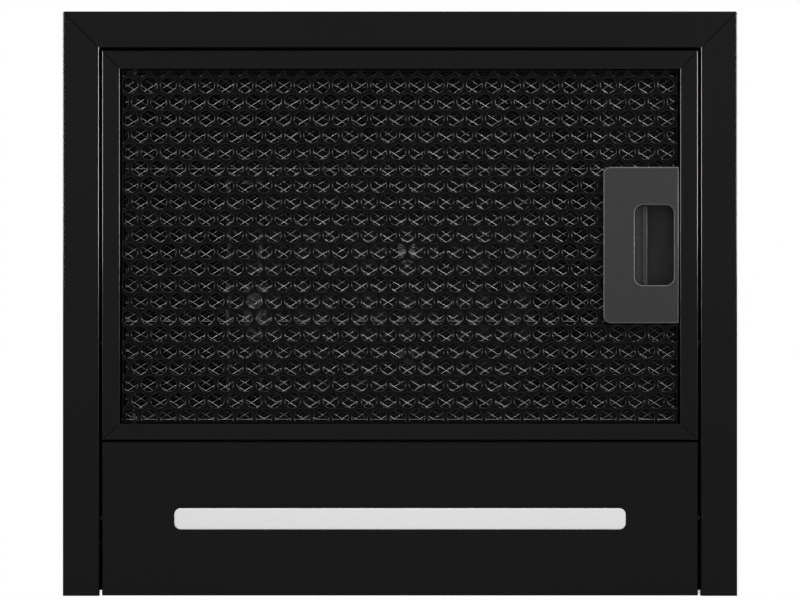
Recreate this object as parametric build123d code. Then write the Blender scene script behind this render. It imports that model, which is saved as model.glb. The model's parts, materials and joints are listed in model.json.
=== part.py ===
from build123d import *

import math
import os

# A square, wall-mounted tower hood. Millimetres, +Z up, the wall is at +Y, the front at -Y.
# The origin is under the middle of the body, in the plane of its underside.

# Body
body_width = 352.0
body_depth = 305.0
body_height = 600.0
sheet = 1.2
bend = 1.6
corner_radius = 1.2
fold_radius = 1.0
rear_return = 15.0
rear_panel_foot = 20.0
seam = 0.3
seam_inset = 1.6
overcut = 1.0

# Underside
flange_width = 19.2
shadow_gap = 1.2
lip_height = 12.0
side_strip = 9.4
front_strip = 9.7
rear_strip = 8.7
strip_drop = 1.0
frame_bend = 0.95
inner_lip_height = 16.0
light_panel_depth = 80.6
row_gap = 0.6
wall_gap = 0.2

# Light
light_sheet = 1.0
lens_length = 235.6
lens_width = 11.1
lens_corner = 3.4
lens_gap = 0.15
lens_rear = 34.6
stamp_width = 2.2
stamp_depth = 0.9
lens_bar = 1.5
lens_lip = 2.6
lens_lip_height = 1.5
lamp_height = 13.0
lamp_wall = 1.4
lamp_ear = 9.0
board_thickness = 1.6
board_margin = 2.0
led_count = 24
led_size = 3.0
led_height = 0.8

# Grease filter
filter_side_gap = 1.0
filter_front_gap = 0.4
filter_rear_gap = 0.5
filter_set_back = 3.0
tray_sheet = 0.8
tray_height = 10.0
hole_pitch = 10.0
hole_diameter = 8.0
hole_edge = 0.2
latch_web = 0.8
hole_start_x = 3.9
hole_start_y = -18.8
smallest_hole_area = 3.0
layer_gap = 0.3
net_count = 3
net_thickness = 0.8
net_long = 24.0
net_short = 15.0
net_strand = 1.8
net_clearance = 0.3
back_sheet = 0.8
window_count_x = 9
window_count_y = 5
window_bar = 6.0
rim_sheet = 1.0
rim_width = 8.0
rivet_radius = 1.0
rivet_head_radius = 1.8
rivet_head = 0.8
rivet_from_pivots = 58.0
rivet_from_latch = 65.0
pivot_radius = 1.5
pivot_inset = 6.2
pivot_height = 2.8
pivot_fit = 0.05
pivot_inside = 4.0
pivot_outside = 1.2

# Latch
latch_width = 39.3
latch_height = 81.6
latch_corner = 3.8
latch_proud = 2.0
latch_offset = -0.6
latch_edge = 0.7
latch_wall = 1.4
latch_flange = 1.6
latch_box_depth = 11.6
pocket_width = 20.4
pocket_height = 41.8
pocket_corner = 4.2
pocket_from_edge = 2.5
pocket_depth = 8.0
slider_sheet = 1.8
slider_clearance = 0.4
slider_side_clearance = 0.5
grip_from_pocket = 4.5
grip_ridge = 2.1
grip_rise = 0.7
post_from_pocket = 6.4
latch_travel = 4.0
spring_radius = 2.6
spring_wire = 0.6
spring_offset = 30.0
spring_rest = 20.8
lug_thickness = 2.0
lug_overlap = 2.0
cover_sheet = 1.2

# Blower
blower_height = 170.0
blower_y = 0.0
impeller_radius = 95.0
impeller_width = 120.0
blade_count = 32
blade_depth = 17.0
blade_thickness = 1.4
blade_bow = 3.0
ring_width = 5.0
disc_thickness = 2.5
hub_radius = 14.0
hub_length = 30.0
shaft_radius = 4.0
running_fit = 0.05
scroll_start_radius = 112.0
scroll_growth = 14.0
scroll_tongue_shift = 8.0
scroll_wall = 2.0
scroll_side_gap = 10.0
inlet_radius = 72.0
inlet_bell = 5.0
outlet_front = -20.0
outlet_flange = 9.0
tongue_radius = 8.0
clip_count = 6
clip_width = 12.0
clip_length = 16.0
clip_sheet = 1.0
clip_start = 20.0
clip_sweep = 140.0
motor_radius = 44.0
motor_length = 74.0
motor_boss = 12.0
motor_boss_length = 5.0
motor_hub_gap = 2.0
motor_screw_radius = 30.8
bracket_sheet = 2.0
bracket_ring = 10.0
arm_count = 3
arm_width = 16.0
arm_root_radius = 35.2
grommet_radius = 5.0
grommet_height = 4.0
guard_sheet = 2.0
guard_ring = 5.0
guard_rings = 3
guard_bar = 5.0
guard_turn = 45.0

# Deck and outlet
deck_height = 335.0
deck_flange = 12.0
deck_gap = 0.3
deck_screw_drop = 7.2
collar_radius = 75.0
collar_wall = 2.0
collar_height = 50.0
collar_flange = 8.0
collar_sheet = 2.0
stop_width = 2.5
stop_height = 1.6
stop_rise = 8.4
flap_gap = 0.6
flap_thickness = 1.2
flap_start = 2.8
flap_rest_gap = 0.3
flap_web = 0.6
knuckle_radius = 2.6
knuckle_length = 18.0
knuckle_gap = 0.4
rod_radius = 1.5
rod_fit = 0.05

# Electronics
box_length = 120.0
box_width = 80.0
box_height = 40.0
box_wall = 2.0
box_from_side = 26.0
box_from_front = 12.5
lid_sheet = 2.0
lid_lip = 4.0
lid_fit = 0.3
board_rise = 10.0
board_post = 3.0
terminal_length = 30.0
terminal_width = 12.0
terminal_height = 14.0
terminal_count = 3
capacitor_radius = 11.0
capacitor_length = 45.0
gland_radius = 9.0
gland_bore = 4.0
gland_thread_radius = 5.4
gland_reach = 14.0
gland_from_end = 20.0
gland_nut = 3.0

# Controls
control_height = 45.0
button_count = 5
button_pitch = 28.0
button_radius = 5.4
button_gap = 0.3
button_length = 5.0
button_flange = 1.2
button_flange_thickness = 1.0
button_travel = 2.0
stem_radius = 2.0
stem_length = 6.5
bezel_height = 15.6
bezel_end = 17.0
bezel_fit = 0.2
bezel_flange = 4.0
bezel_sheet = 2.0
bezel_post_radius = 3.0
switch_size = 8.0
switch_height = 5.5
switch_fit = 0.4

# Chimney sleeve
sleeve_length = 380.0
sleeve_gap = 0.8
sleeve_sheet = 1.0
sleeve_return = 12.0
sleeve_rear_gap = 0.5
sleeve_seat = 0.3
bracket_height = 20.0
bracket_from_top = 6.5
bracket_tab = 30.0
bracket_plate = 1.5
bracket_hole_spacing = 240.0
bracket_side_gap = 1.0

# Wall fixing and screws
hanger_sheet = 2.0
hanger_length = 300.0
hanger_height = 40.0
hanger_low = 95.0
hanger_spacing_z = 200.0
hanger_spacing_x = 260.0
hanger_hole = 4.2
panel_hole = 6.0
screw_radius = 1.6
screw_fit = 0.1
screw_head_radius = 3.2
screw_head = 1.4
screw_through = 1.0
flat_head = 0.8
screw_pitch = 130.0
screw_inset = 8.0

# Places that follow from the sizes above
right = body_width / 2
rear = body_depth / 2
front = -rear
lip_x = right - flange_width
lip_front = front + flange_width
inset_x = lip_x - shadow_gap
frame_front = lip_front + shadow_gap
light_front = rear - light_panel_depth
frame_rear = light_front - row_gap
open_x = inset_x - side_strip
open_front = frame_front + front_strip
open_rear = frame_rear - rear_strip
filter_x = open_x - filter_side_gap
filter_front = open_front + filter_front_gap
filter_rear = open_rear - filter_rear_gap
filter_top = filter_set_back + tray_height
filter_mid_y = (filter_front + filter_rear) / 2
latch_y = filter_mid_y + latch_offset
latch_x1 = open_x - latch_edge
latch_x0 = latch_x1 - latch_width
latch_z0 = filter_set_back - latch_proud
latch_top = filter_set_back + latch_box_depth
latch_box_x0 = latch_x0 + latch_flange
latch_box_half = latch_height / 2 - latch_flange
pocket_x1 = latch_x1 - pocket_from_edge
pocket_x0 = pocket_x1 - pocket_width
cup_floor = filter_set_back + pocket_depth
cup_wall = latch_wall - screw_fit
slider_z0 = latch_top - slider_clearance - slider_sheet
slider_half = pocket_height / 2 - slider_side_clearance
post_x0 = pocket_x0 - post_from_pocket
tongue_x1 = latch_x1 + latch_travel - slider_clearance
slot_z0 = slider_z0 - slider_clearance
spring_x0 = latch_box_x0 + latch_wall
lug_x0 = spring_x0 + spring_rest
spring_z = latch_top - slider_clearance - slider_sheet - spring_radius - slider_clearance
deck_top = deck_height + sheet
panel_inner = rear - 2 * sheet
pivot_x = -filter_x + pivot_inset
pivot_z = filter_set_back + pivot_height
outlet_rear = scroll_start_radius + scroll_growth + blower_y
collar_y = (outlet_front + outlet_rear) / 2
scroll_half = impeller_width / 2 + scroll_side_gap
lens_y = rear - lens_rear - lens_width / 2
lens_seat = stamp_depth + light_sheet
lamp_x = lens_length / 2 + lens_lip + lamp_wall + lens_gap
lamp_y = lens_width / 2 + lens_lip + lamp_wall + lens_gap
lamp_top = lens_seat + lamp_height
motor_x1 = -hub_length / 2 - motor_hub_gap - motor_boss_length
motor_x0 = motor_x1 - motor_length
bracket_seat = -(scroll_half + scroll_wall + grommet_height)
bracket_foot_radius = inlet_radius + scroll_wall + bracket_ring / 2
box_x0 = -right + box_from_side
box_x1 = box_x0 + box_length
box_y0 = front + box_from_front
box_y1 = box_y0 + box_width
box_mid_y = (box_y0 + box_y1) / 2
box_top = deck_top + box_height
gland_x = box_x1 - gland_from_end
board_top = deck_top + board_rise + board_thickness
flap_z = deck_top + stop_rise + stop_height + flap_rest_gap + flap_thickness / 2
bezel_length = button_pitch * (button_count - 1) + 2 * bezel_end
bezel_back = front + sheet + bezel_sheet
switch_board_y = front + button_length + stem_length + button_travel + switch_fit + board_thickness
sleeve_x = right - sheet - sleeve_gap
sleeve_front = front + sheet + sleeve_gap
sleeve_rear = panel_inner - sleeve_rear_gap
sleeve_z0 = deck_top + sleeve_seat
sleeve_z1 = sleeve_z0 + sleeve_length
sleeve_screw_y = panel_inner - sleeve_return - bracket_tab / 2
sleeve_screw_z = sleeve_z1 - bracket_from_top - bracket_height / 2
deck_screw_z = deck_height - deck_screw_drop
rivet_z = (filter_set_back + tray_sheet + layer_gap + net_count * (net_thickness + layer_gap)
           + back_sheet + rim_sheet + filter_top) / 2

os.makedirs("parts", exist_ok=True)


def block(x0, x1, y0, y1, z0, z1):
    """A box between two corners."""
    middle = Pos((x0 + x1) / 2, (y0 + y1) / 2, (z0 + z1) / 2)
    return middle * Box(x1 - x0, y1 - y0, z1 - z0)


def rod(axis, radius, start, end, a, b):
    """A round bar along one axis, at (a, b) on the other two."""
    middle = (start + end) / 2
    place = {"x": (middle, a, b), "y": (a, middle, b), "z": (a, b, middle)}[axis]
    turn = {"x": (0, 90, 0), "y": (90, 0, 0), "z": (0, 0, 0)}[axis]
    return Location(place, turn) * Cylinder(radius, abs(end - start))


def rounded(width, height, radius, x, y, z0, z1):
    """A plate with rounded corners, centred on (x, y)."""
    outline = Pos(x, y, z0) * RectangleRounded(width, height, radius)
    return extrude(outline, z1 - z0, dir=(0, 0, 1))


def screw(axis, head_start, head_end, tip, a, b):
    """A pan head and its shank along one axis."""
    head = rod(axis, screw_head_radius, head_start, head_end, a, b)
    return head + rod(axis, screw_radius, head_end, tip, a, b)


def seam_slit(corner, inner, corner_inset, inner_inset, z1):
    """The hairline gap of a mitre, between its two corners and short of each by an inset."""
    run = Vector(*inner) - Vector(*corner)
    length = run.length - corner_inset - inner_inset
    start = Vector(*corner) + run.normalized() * corner_inset
    middle = start + run.normalized() * (length / 2)
    turn = math.degrees(math.atan2(run.Y, run.X))
    return Location((middle.X, middle.Y, z1 / 2), (0, 0, turn)) * Box(length, seam, 2 * z1)


def low_edges(part, z, x_lines, y_lines):
    """Edges at height z that lie on one of the given lines."""
    found = []
    for edge in part.edges():
        box = edge.bounding_box()
        if abs(box.min.Z - z) > 0.01 or abs(box.max.Z - z) > 0.01:
            continue
        on_x = any(abs(box.min.X - x) < 0.01 and abs(box.max.X - x) < 0.01 for x in x_lines)
        on_y = any(abs(box.min.Y - y) < 0.01 and abs(box.max.Y - y) < 0.01 for y in y_lines)
        if on_x or on_y:
            found.append(edge)
    return found


def save(name, *solids):
    """Write one node, from one solid or a group of separate solids."""
    shape = solids[0] if len(solids) == 1 else Compound(children=list(solids))
    export_step(shape, f"parts/{name}.step")


def rear_screw_places():
    """Places (x, z) of the screws that hold the rear panel."""
    count = int((body_height - rear_panel_foot) // screw_pitch)
    places = []
    for side in (-1, 1):
        for step in range(count):
            x = side * (right - screw_inset)
            places.append((x, rear_panel_foot + screw_pitch * (step + 0.5)))
    return places


def lip_screw_places():
    """Places (side, y) of the screws through the underside lips."""
    frame_span = frame_rear - frame_front
    light_span = rear - light_front
    ys = [frame_front + frame_span / 4, frame_rear - frame_span / 4, light_front + light_span / 2]
    return [(side, y) for side in (-1, 1) for y in ys]


def hanger_places():
    """Places (x, z) of the wall screws."""
    half = hanger_spacing_x / 2
    return [(x, z) for z in (hanger_low, hanger_low + hanger_spacing_z) for x in (-half, half)]


# Body shell: front and sides in one sheet, with flanges turned in under it
def body_shell():
    shell = block(-right, right, front, rear, 0, body_height)
    uprights = [e for e in shell.edges().filter_by(Axis.Z) if e.center().Y < 0]
    shell = fillet(uprights, corner_radius)
    shell = fillet(low_edges(shell, 0, (-right, right), (front,)), fold_radius)
    inside = block(-right + sheet, right - sheet, front + sheet, rear + sheet, sheet, body_height + sheet)
    shell -= inside
    shell += block(-lip_x - sheet, lip_x + sheet, lip_front - sheet, rear, 0, lip_height)
    shell -= block(-lip_x, lip_x, lip_front, rear + sheet, -sheet, lip_height + sheet)
    shell = fillet(low_edges(shell, 0, (-lip_x, lip_x), (lip_front,)), bend)
    for side in (-1, 1):
        shell -= seam_slit((side * right, front), (side * lip_x, lip_front),
                           math.sqrt(2) * corner_radius + seam, math.sqrt(2) * bend + seam, sheet)
        inner = side * (right - rear_return)
        outer = side * (right - sheet / 2)
        x0, x1 = min(inner, outer), max(inner, outer)
        shell += block(x0, x1, rear - sheet, rear, rear_panel_foot, body_height)
    for side, y in lip_screw_places():
        shell -= rod("x", screw_radius + screw_fit, side * (lip_x - sheet), side * (lip_x + 2 * sheet), y,
                     lip_height / 2 + sheet)
    for x, z in rear_screw_places():
        shell -= rod("y", screw_radius + screw_fit, rear - 2 * sheet, rear + sheet, x, z)
        shell -= rod("y", screw_head_radius + screw_fit, rear - flat_head, rear + sheet, x, z)
    slot = bezel_length + 2 * bezel_fit
    shell -= stadium(slot, bezel_height + 2 * bezel_fit, front - sheet, front + 2 * sheet)
    return shell


def stadium(length, height, y0, y1):
    """A round-ended bar at the height of the controls, from y0 to y1."""
    outline = Plane.XZ * (Pos(0, control_height) * SlotOverall(length, height))
    return extrude(Pos(0, y0, 0) * outline, y1 - y0, dir=(0, 1, 0))


def rear_panel():
    x = right - sheet - screw_fit
    panel = block(-x, x, panel_inner, rear - sheet, rear_panel_foot, body_height)
    for px, z in rear_screw_places():
        panel -= rod("y", screw_radius + screw_fit, panel_inner - sheet, rear, px, z)
    for px, z in hanger_places():
        panel -= rod("y", panel_hole, panel_inner - sheet, rear, px, z)
    for px in deck_screw_places():
        panel -= rod("y", screw_radius + screw_fit, panel_inner - sheet, rear, px, deck_screw_z)
    return panel


def shell_screws():
    """Flat headed screws, flush with the wall side."""
    return [screw("y", rear, rear - flat_head, panel_inner, x, z) for x, z in rear_screw_places()]


def hanger_plates():
    plates = []
    for z in (hanger_low, hanger_low + hanger_spacing_z):
        half = hanger_length / 2
        plate = block(-half, half, panel_inner - hanger_sheet, panel_inner,
                      z - hanger_height / 2, z + hanger_height / 2)
        plates.append(plate)
    for x, z in hanger_places():
        hole = rod("y", hanger_hole, panel_inner - 2 * hanger_sheet, rear, x, z)
        plates = [plate - hole for plate in plates]
    return plates


def deck_screw_places():
    """X of the screws in the deck's rear flange."""
    return [screw_pitch * step for step in (-1, 0, 1)]


# Deck: carries the blower below it and the outlet collar above it
def deck_plate():
    x = right - sheet - deck_gap
    y0 = front + sheet + deck_gap
    deck = block(-x, x, y0, panel_inner, deck_height - deck_flange, deck_top)
    deck -= block(-x + sheet, x - sheet, y0 + sheet, panel_inner - sheet,
                  deck_height - deck_flange - sheet, deck_height)
    throat = scroll_half
    deck -= block(-throat, throat, outlet_front, outlet_rear, deck_height - sheet, deck_top + sheet)
    for px in deck_screw_places():
        deck -= rod("y", screw_radius + screw_fit, panel_inner - 2 * sheet, rear, px, deck_screw_z)
    return deck


def deck_screws():
    seat = panel_inner - sheet
    tip = rear - sheet
    return [screw("y", seat - screw_head, seat, tip, x, deck_screw_z) for x in deck_screw_places()]


# Filter frame: four mitred strips that fall towards the opening, between two turned up lips
def lip_ring(x, y0, y1, thickness, z0, z1):
    """A rectangular ring of sheet that stands on edge, with its lower inner bend rounded."""
    ring = block(-x - thickness, x + thickness, y0 - thickness, y1 + thickness, z0, z1)
    ring -= block(-x, x, y0, y1, z0 - thickness, z1 + thickness)
    return fillet(low_edges(ring, z0, (-x, x), (y0, y1)), frame_bend)


def frame_strip(width, outer, inner, inward):
    """The sloping face of one side, between its outer and inner edges, each given as (start, end)."""
    profile = make_face(Polyline((sheet, 0), (sheet, sheet), (width - sheet, sheet + strip_drop),
                                 (width - sheet, strip_drop), close=True))
    run = Vector(*outer[1]) - Vector(*outer[0])
    plane = Plane(origin=outer[0], x_dir=inward, z_dir=tuple(run.normalized()))
    bar = extrude(plane * profile, run.length)
    mitre = make_face(Polyline(outer[0], outer[1], inner[1], inner[0], close=True))
    strip = bar & extrude(mitre, inner_lip_height, dir=(0, 0, 1))
    for corner, inner_corner in zip(outer, inner):
        strip -= seam_slit(corner, inner_corner, seam_inset, 0, inner_lip_height)
    return strip


def filter_frame():
    outer = [(-inset_x, frame_front), (inset_x, frame_front), (inset_x, frame_rear), (-inset_x, frame_rear)]
    inner = [(-open_x, open_front), (open_x, open_front), (open_x, open_rear), (-open_x, open_rear)]
    widths = (front_strip, side_strip, rear_strip, side_strip)
    inward = ((0, 1, 0), (-1, 0, 0), (0, -1, 0), (1, 0, 0))
    strips = []
    for start in range(4):
        end = (start + 1) % 4
        strips.append(frame_strip(widths[start], (outer[start], outer[end]), (inner[start], inner[end]),
                                  inward[start]))
    outer_lip = block(-inset_x, inset_x, frame_front, frame_rear, 0, lip_height)
    outer_lip = fillet(low_edges(outer_lip, 0, (-inset_x, inset_x), (frame_front, frame_rear)), frame_bend)
    outer_lip -= block(-inset_x + sheet, inset_x - sheet, frame_front + sheet, frame_rear - sheet,
                       -sheet, lip_height + sheet)
    inner_lip = lip_ring(open_x, open_front, open_rear, sheet, strip_drop, inner_lip_height)
    frame = outer_lip.fuse(inner_lip, *strips)
    for y in (open_front - sheet / 2, open_rear + sheet / 2):
        frame -= rod("y", pivot_radius + pivot_fit, y - sheet, y + sheet, pivot_x, pivot_z)
    slot_half = slider_half + slider_side_clearance
    frame -= block(open_x - sheet, open_x + 2 * sheet, latch_y - slot_half, latch_y + slot_half,
                   slot_z0, slider_z0 + slider_sheet + slider_clearance)
    for side, y in lip_screw_places():
        if y < frame_rear:
            frame -= rod("x", screw_radius + screw_fit, side * (inset_x - 2 * sheet), side * (inset_x + sheet),
                         y, lip_height / 2 + sheet)
    return frame


def frame_screws():
    head = lip_x + sheet
    tip = inset_x - 2 * sheet
    z = lip_height / 2 + sheet
    return [screw("x", side * (head + screw_head), side * head, side * tip, y, z)
            for side, y in lip_screw_places()]


# Light panel: a tray with a stamped slot, and the lamp behind it
def light_panel():
    y1 = rear - wall_gap
    panel = block(-inset_x, inset_x, light_front, y1, 0, lip_height)
    panel = fillet(low_edges(panel, 0, (-inset_x, inset_x), (light_front,)), bend)
    panel -= block(-inset_x + light_sheet, inset_x - light_sheet, light_front + light_sheet,
                   y1 - light_sheet, light_sheet, lip_height + light_sheet)
    slot_x = lens_length + 2 * lens_gap
    slot_y = lens_width + 2 * lens_gap
    rim = lens_corner + stamp_width
    panel += rounded(slot_x + 2 * stamp_width, slot_y + 2 * stamp_width, rim, 0, lens_y, light_sheet, lens_seat)
    low = Pos(0, lens_y, 0) * RectangleRounded(slot_x + 2 * stamp_width, slot_y + 2 * stamp_width, rim)
    high = Pos(0, lens_y, stamp_depth) * RectangleRounded(slot_x, slot_y, lens_corner)
    panel -= loft([low, high], ruled=True)
    panel -= rounded(slot_x, slot_y, lens_corner, 0, lens_y, 0, lens_seat + light_sheet)
    for side in (-1, 1):
        for y in [y for s, y in lip_screw_places() if s == side and y > light_front]:
            panel -= rod("x", screw_radius + screw_fit, side * (inset_x - 2 * sheet), side * (inset_x + sheet),
                         y, lip_height / 2 + sheet)
    return panel


def light_lens():
    bar = rounded(lens_length, lens_width, lens_corner, 0, lens_y, lens_seat - lens_bar,
                  lens_seat + lens_lip_height)
    lip = rounded(lens_length + 2 * lens_lip, lens_width + 2 * lens_lip, lens_corner + lens_lip,
                  0, lens_y, lens_seat, lens_seat + lens_lip_height)
    return bar + lip


def light_housing():
    y0 = lens_y - lamp_y
    y1 = lens_y + lamp_y
    housing = block(-lamp_x, lamp_x, y0, y1, light_sheet, lamp_top)
    housing -= block(-lamp_x + lamp_wall, lamp_x - lamp_wall, y0 + lamp_wall, y1 - lamp_wall,
                     0, lamp_top - lamp_wall)
    for side in (-1, 1):
        x0 = min(side * lamp_x, side * (lamp_x + lamp_ear))
        ear = block(x0, x0 + lamp_ear, y0, y1, light_sheet, light_sheet + lamp_wall)
        ear -= rod("z", screw_radius + screw_fit, 0, lamp_top, side * (lamp_x + lamp_ear / 2), lens_y)
        housing += ear
    return housing


def light_screws():
    seat = light_sheet + lamp_wall
    x = lamp_x + lamp_ear / 2
    return [screw("z", seat + screw_head, seat, light_sheet, side * x, lens_y) for side in (-1, 1)]


def led_board():
    inset = lamp_wall + board_margin
    z1 = lamp_top - lamp_wall
    return block(-lamp_x + inset, lamp_x - inset, lens_y - lamp_y + inset, lens_y + lamp_y - inset,
                 z1 - board_thickness, z1)


def led_chips():
    z1 = lamp_top - lamp_wall - board_thickness
    pitch = lens_length / led_count
    size = min(led_size, pitch - led_height)
    chips = []
    for step in range(led_count):
        x = (step - (led_count - 1) / 2) * pitch
        chips.append(block(x - size / 2, x + size / 2, lens_y - led_size / 2, lens_y + led_size / 2,
                           z1 - led_height, z1))
    return chips


# Grease filter: a perforated tray, three nets, a back sheet and a rim
def latch_cutout(margin):
    """The filter's cut-out for the latch box, widened by a margin: x0, y0, y1."""
    half = latch_box_half + margin
    return latch_box_x0 - margin, latch_y - half, latch_y + half


def hole_wires(z):
    """Wires of the round holes, cut short at the tray's folds and at the latch's cut-out."""
    edge = tray_sheet + hole_edge
    x1 = filter_x - edge
    y0 = filter_front + edge
    y1 = filter_rear - edge
    cut_x, cut_y0, cut_y1 = latch_cutout(net_clearance + latch_web)
    field = Pos(0, (y0 + y1) / 2) * Rectangle(2 * x1, y1 - y0)
    field -= Pos((cut_x + x1 + edge) / 2, (cut_y0 + cut_y1) / 2) * Rectangle(x1 + edge - cut_x, cut_y1 - cut_y0)
    radius = hole_diameter / 2
    row_pitch = hole_pitch * math.sqrt(3) / 2
    wires = []
    rows = range(math.floor((y0 - radius - hole_start_y) / row_pitch) + 1,
                 math.ceil((y1 + radius - hole_start_y) / row_pitch))
    for row in rows:
        y = hole_start_y + row * row_pitch
        shift = hole_start_x + (row % 2) * hole_pitch / 2
        steps = range(math.floor((-x1 - radius - shift) / hole_pitch) + 1,
                      math.ceil((x1 + radius - shift) / hole_pitch))
        for step in steps:
            x = shift + step * hole_pitch
            in_sheet = abs(x) + radius < x1 and y0 < y - radius and y + radius < y1
            clear = x + radius < cut_x or y + radius < cut_y0 or y - radius > cut_y1
            if in_sheet and clear:
                wires.append(Wire.make_circle(radius, Plane((x, y, z))))
                continue
            piece = (Pos(x, y) * Circle(radius)) & field
            for face in piece.faces():
                if face.area > smallest_hole_area:
                    wires.append(face.moved(Location((0, 0, z))).outer_wire())
    return wires


def filter_face():
    z0 = filter_set_back
    tray = block(-filter_x, filter_x, filter_front, filter_rear, z0, filter_top)
    tray = fillet(low_edges(tray, z0, (-filter_x, filter_x), (filter_front, filter_rear)), tray_sheet)
    inner_x = filter_x - tray_sheet
    y0 = filter_front + tray_sheet
    y1 = filter_rear - tray_sheet
    tray -= block(-inner_x, inner_x, y0, y1, z0 - tray_sheet, filter_top + tray_sheet)
    cut_x, cut_y0, cut_y1 = latch_cutout(net_clearance)
    tray -= block(cut_x, filter_x + tray_sheet, cut_y0, cut_y1, z0 - tray_sheet, filter_top + tray_sheet)
    for y in (filter_front + tray_sheet / 2, filter_rear - tray_sheet / 2):
        tray -= rod("y", pivot_radius + pivot_fit, y - tray_sheet, y + tray_sheet, pivot_x, pivot_z)
        for x in rivet_places():
            tray -= rod("y", rivet_radius, y - tray_sheet, y + tray_sheet, x, rivet_z)
    outline = Wire.make_polygon([
        (-inner_x, y0, z0), (inner_x, y0, z0), (inner_x, cut_y0, z0), (cut_x, cut_y0, z0),
        (cut_x, cut_y1, z0), (inner_x, cut_y1, z0), (inner_x, y1, z0), (-inner_x, y1, z0)])
    plate = extrude(Face(outline, hole_wires(z0)), tray_sheet, dir=(0, 0, 1))
    return tray + plate


def layer_z(index):
    """Underside of a layer above the perforated face: the nets come first, then the back sheet."""
    return filter_set_back + tray_sheet + layer_gap + index * (net_thickness + layer_gap)


def layer_outline(z):
    """Outline of a layer inside the tray, with its notch round the latch."""
    x1 = filter_x - tray_sheet - net_clearance
    y0 = filter_front + tray_sheet + net_clearance
    y1 = filter_rear - tray_sheet - net_clearance
    cut_x, cut_y0, cut_y1 = latch_cutout(2 * net_clearance)
    return x1, y0, y1, Wire.make_polygon([
        (-x1, y0, z), (x1, y0, z), (x1, cut_y0, z), (cut_x, cut_y0, z),
        (cut_x, cut_y1, z), (x1, cut_y1, z), (x1, y1, z), (-x1, y1, z)])


def filter_net(index):
    """One expanded metal net, as a flat sheet with diamond gaps."""
    z = layer_z(index)
    x1, y0, y1, outline = layer_outline(z)
    cut_x, cut_y0, cut_y1 = latch_cutout(2 * net_clearance + net_strand)
    half_x = net_long / 2 - net_strand
    half_y = net_short / 2 - net_strand / 2
    shift = net_long * index / net_count
    pivot_guard = pivot_inset + pivot_radius
    gaps = []
    rows = int((y1 - y0) / (net_short / 2)) + 1
    columns = int(2 * x1 / net_long) + 2
    for row in range(rows):
        y = y0 + row * net_short / 2
        for column in range(-1, columns):
            x = -x1 + shift + (column + row % 2 / 2) * net_long
            in_sheet = abs(x) + half_x < x1 - net_strand and y0 + net_strand < y - half_y
            in_sheet = in_sheet and y + half_y < y1 - net_strand
            clear = x + half_x < cut_x or y + half_y < cut_y0 or y - half_y > cut_y1
            if in_sheet and clear:
                gaps.append(Wire.make_polygon([(x - half_x, y, z), (x, y - half_y, z),
                                               (x + half_x, y, z), (x, y + half_y, z)]))
    net = extrude(Face(outline, gaps), net_thickness, dir=(0, 0, 1))
    for y in (y0, y1):
        side = 1 if y > 0 else -1
        inner = y - side * pivot_inside
        net -= block(-filter_x, -filter_x + pivot_guard + net_clearance, min(y, inner), max(y, inner),
                     z - net_thickness, z + 2 * net_thickness)
    return net


def filter_back():
    z = layer_z(net_count)
    x1, y0, y1, outline = layer_outline(z)
    cut_x = latch_cutout(2 * net_clearance)[0]
    sheet_face = extrude(Face(outline), back_sheet, dir=(0, 0, 1))
    field_x0 = -x1 + rim_width
    field_x1 = cut_x - window_bar
    field_y0 = y0 + rim_width
    field_y1 = y1 - rim_width
    step_x = (field_x1 - field_x0 + window_bar) / window_count_x
    step_y = (field_y1 - field_y0 + window_bar) / window_count_y
    windows = []
    for column in range(window_count_x):
        for row in range(window_count_y):
            x = field_x0 + column * step_x
            y = field_y0 + row * step_y
            windows.append(block(x, x + step_x - window_bar, y, y + step_y - window_bar,
                                 z - back_sheet, z + 2 * back_sheet))
    return sheet_face - windows


def rivet_places():
    """X of the rivets along the front and rear walls of the tray."""
    return [-filter_x + rivet_from_pivots, 0, filter_x - rivet_from_latch]


def filter_rim():
    z0 = layer_z(net_count) + back_sheet
    x1 = filter_x - tray_sheet
    y0 = filter_front + tray_sheet
    y1 = filter_rear - tray_sheet
    rim = block(-x1, x1, y0, y1, z0, filter_top)
    rim -= block(-x1 + rim_sheet, x1 - rim_sheet, y0 + rim_sheet, y1 - rim_sheet,
                 z0 + rim_sheet, filter_top + rim_sheet)
    rim -= block(-x1 + rim_width, x1 - rim_width, y0 + rim_width, y1 - rim_width, z0 - rim_sheet, filter_top)
    cut_x, cut_y0, cut_y1 = latch_cutout(2 * net_clearance)
    rim -= block(cut_x, filter_x + tray_sheet, cut_y0, cut_y1, z0 - rim_sheet, filter_top + rim_sheet)
    for y in (y0 + rim_sheet / 2, y1 - rim_sheet / 2):
        for x in rivet_places():
            rim -= rod("y", rivet_radius, y - rim_sheet, y + rim_sheet, x, rivet_z)
    return rim


def rim_rivets():
    rivets = []
    for side, y in ((1, filter_front), (-1, filter_rear)):
        seat = y + side * (tray_sheet + rim_sheet)
        for x in rivet_places():
            rivet = rod("y", rivet_radius - screw_fit, y, seat, x, rivet_z)
            rivets.append(rivet + rod("y", rivet_head_radius, seat, seat + side * rivet_head, x, rivet_z))
    return rivets


def pivot_pins():
    inner_front = filter_front + tray_sheet + pivot_inside
    inner_rear = filter_rear - tray_sheet - pivot_inside
    outer_front = open_front - sheet - pivot_outside
    outer_rear = open_rear + sheet + pivot_outside
    return [rod("y", pivot_radius, outer_front, inner_front, pivot_x, pivot_z),
            rod("y", pivot_radius, inner_rear, outer_rear, pivot_x, pivot_z)]


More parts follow.
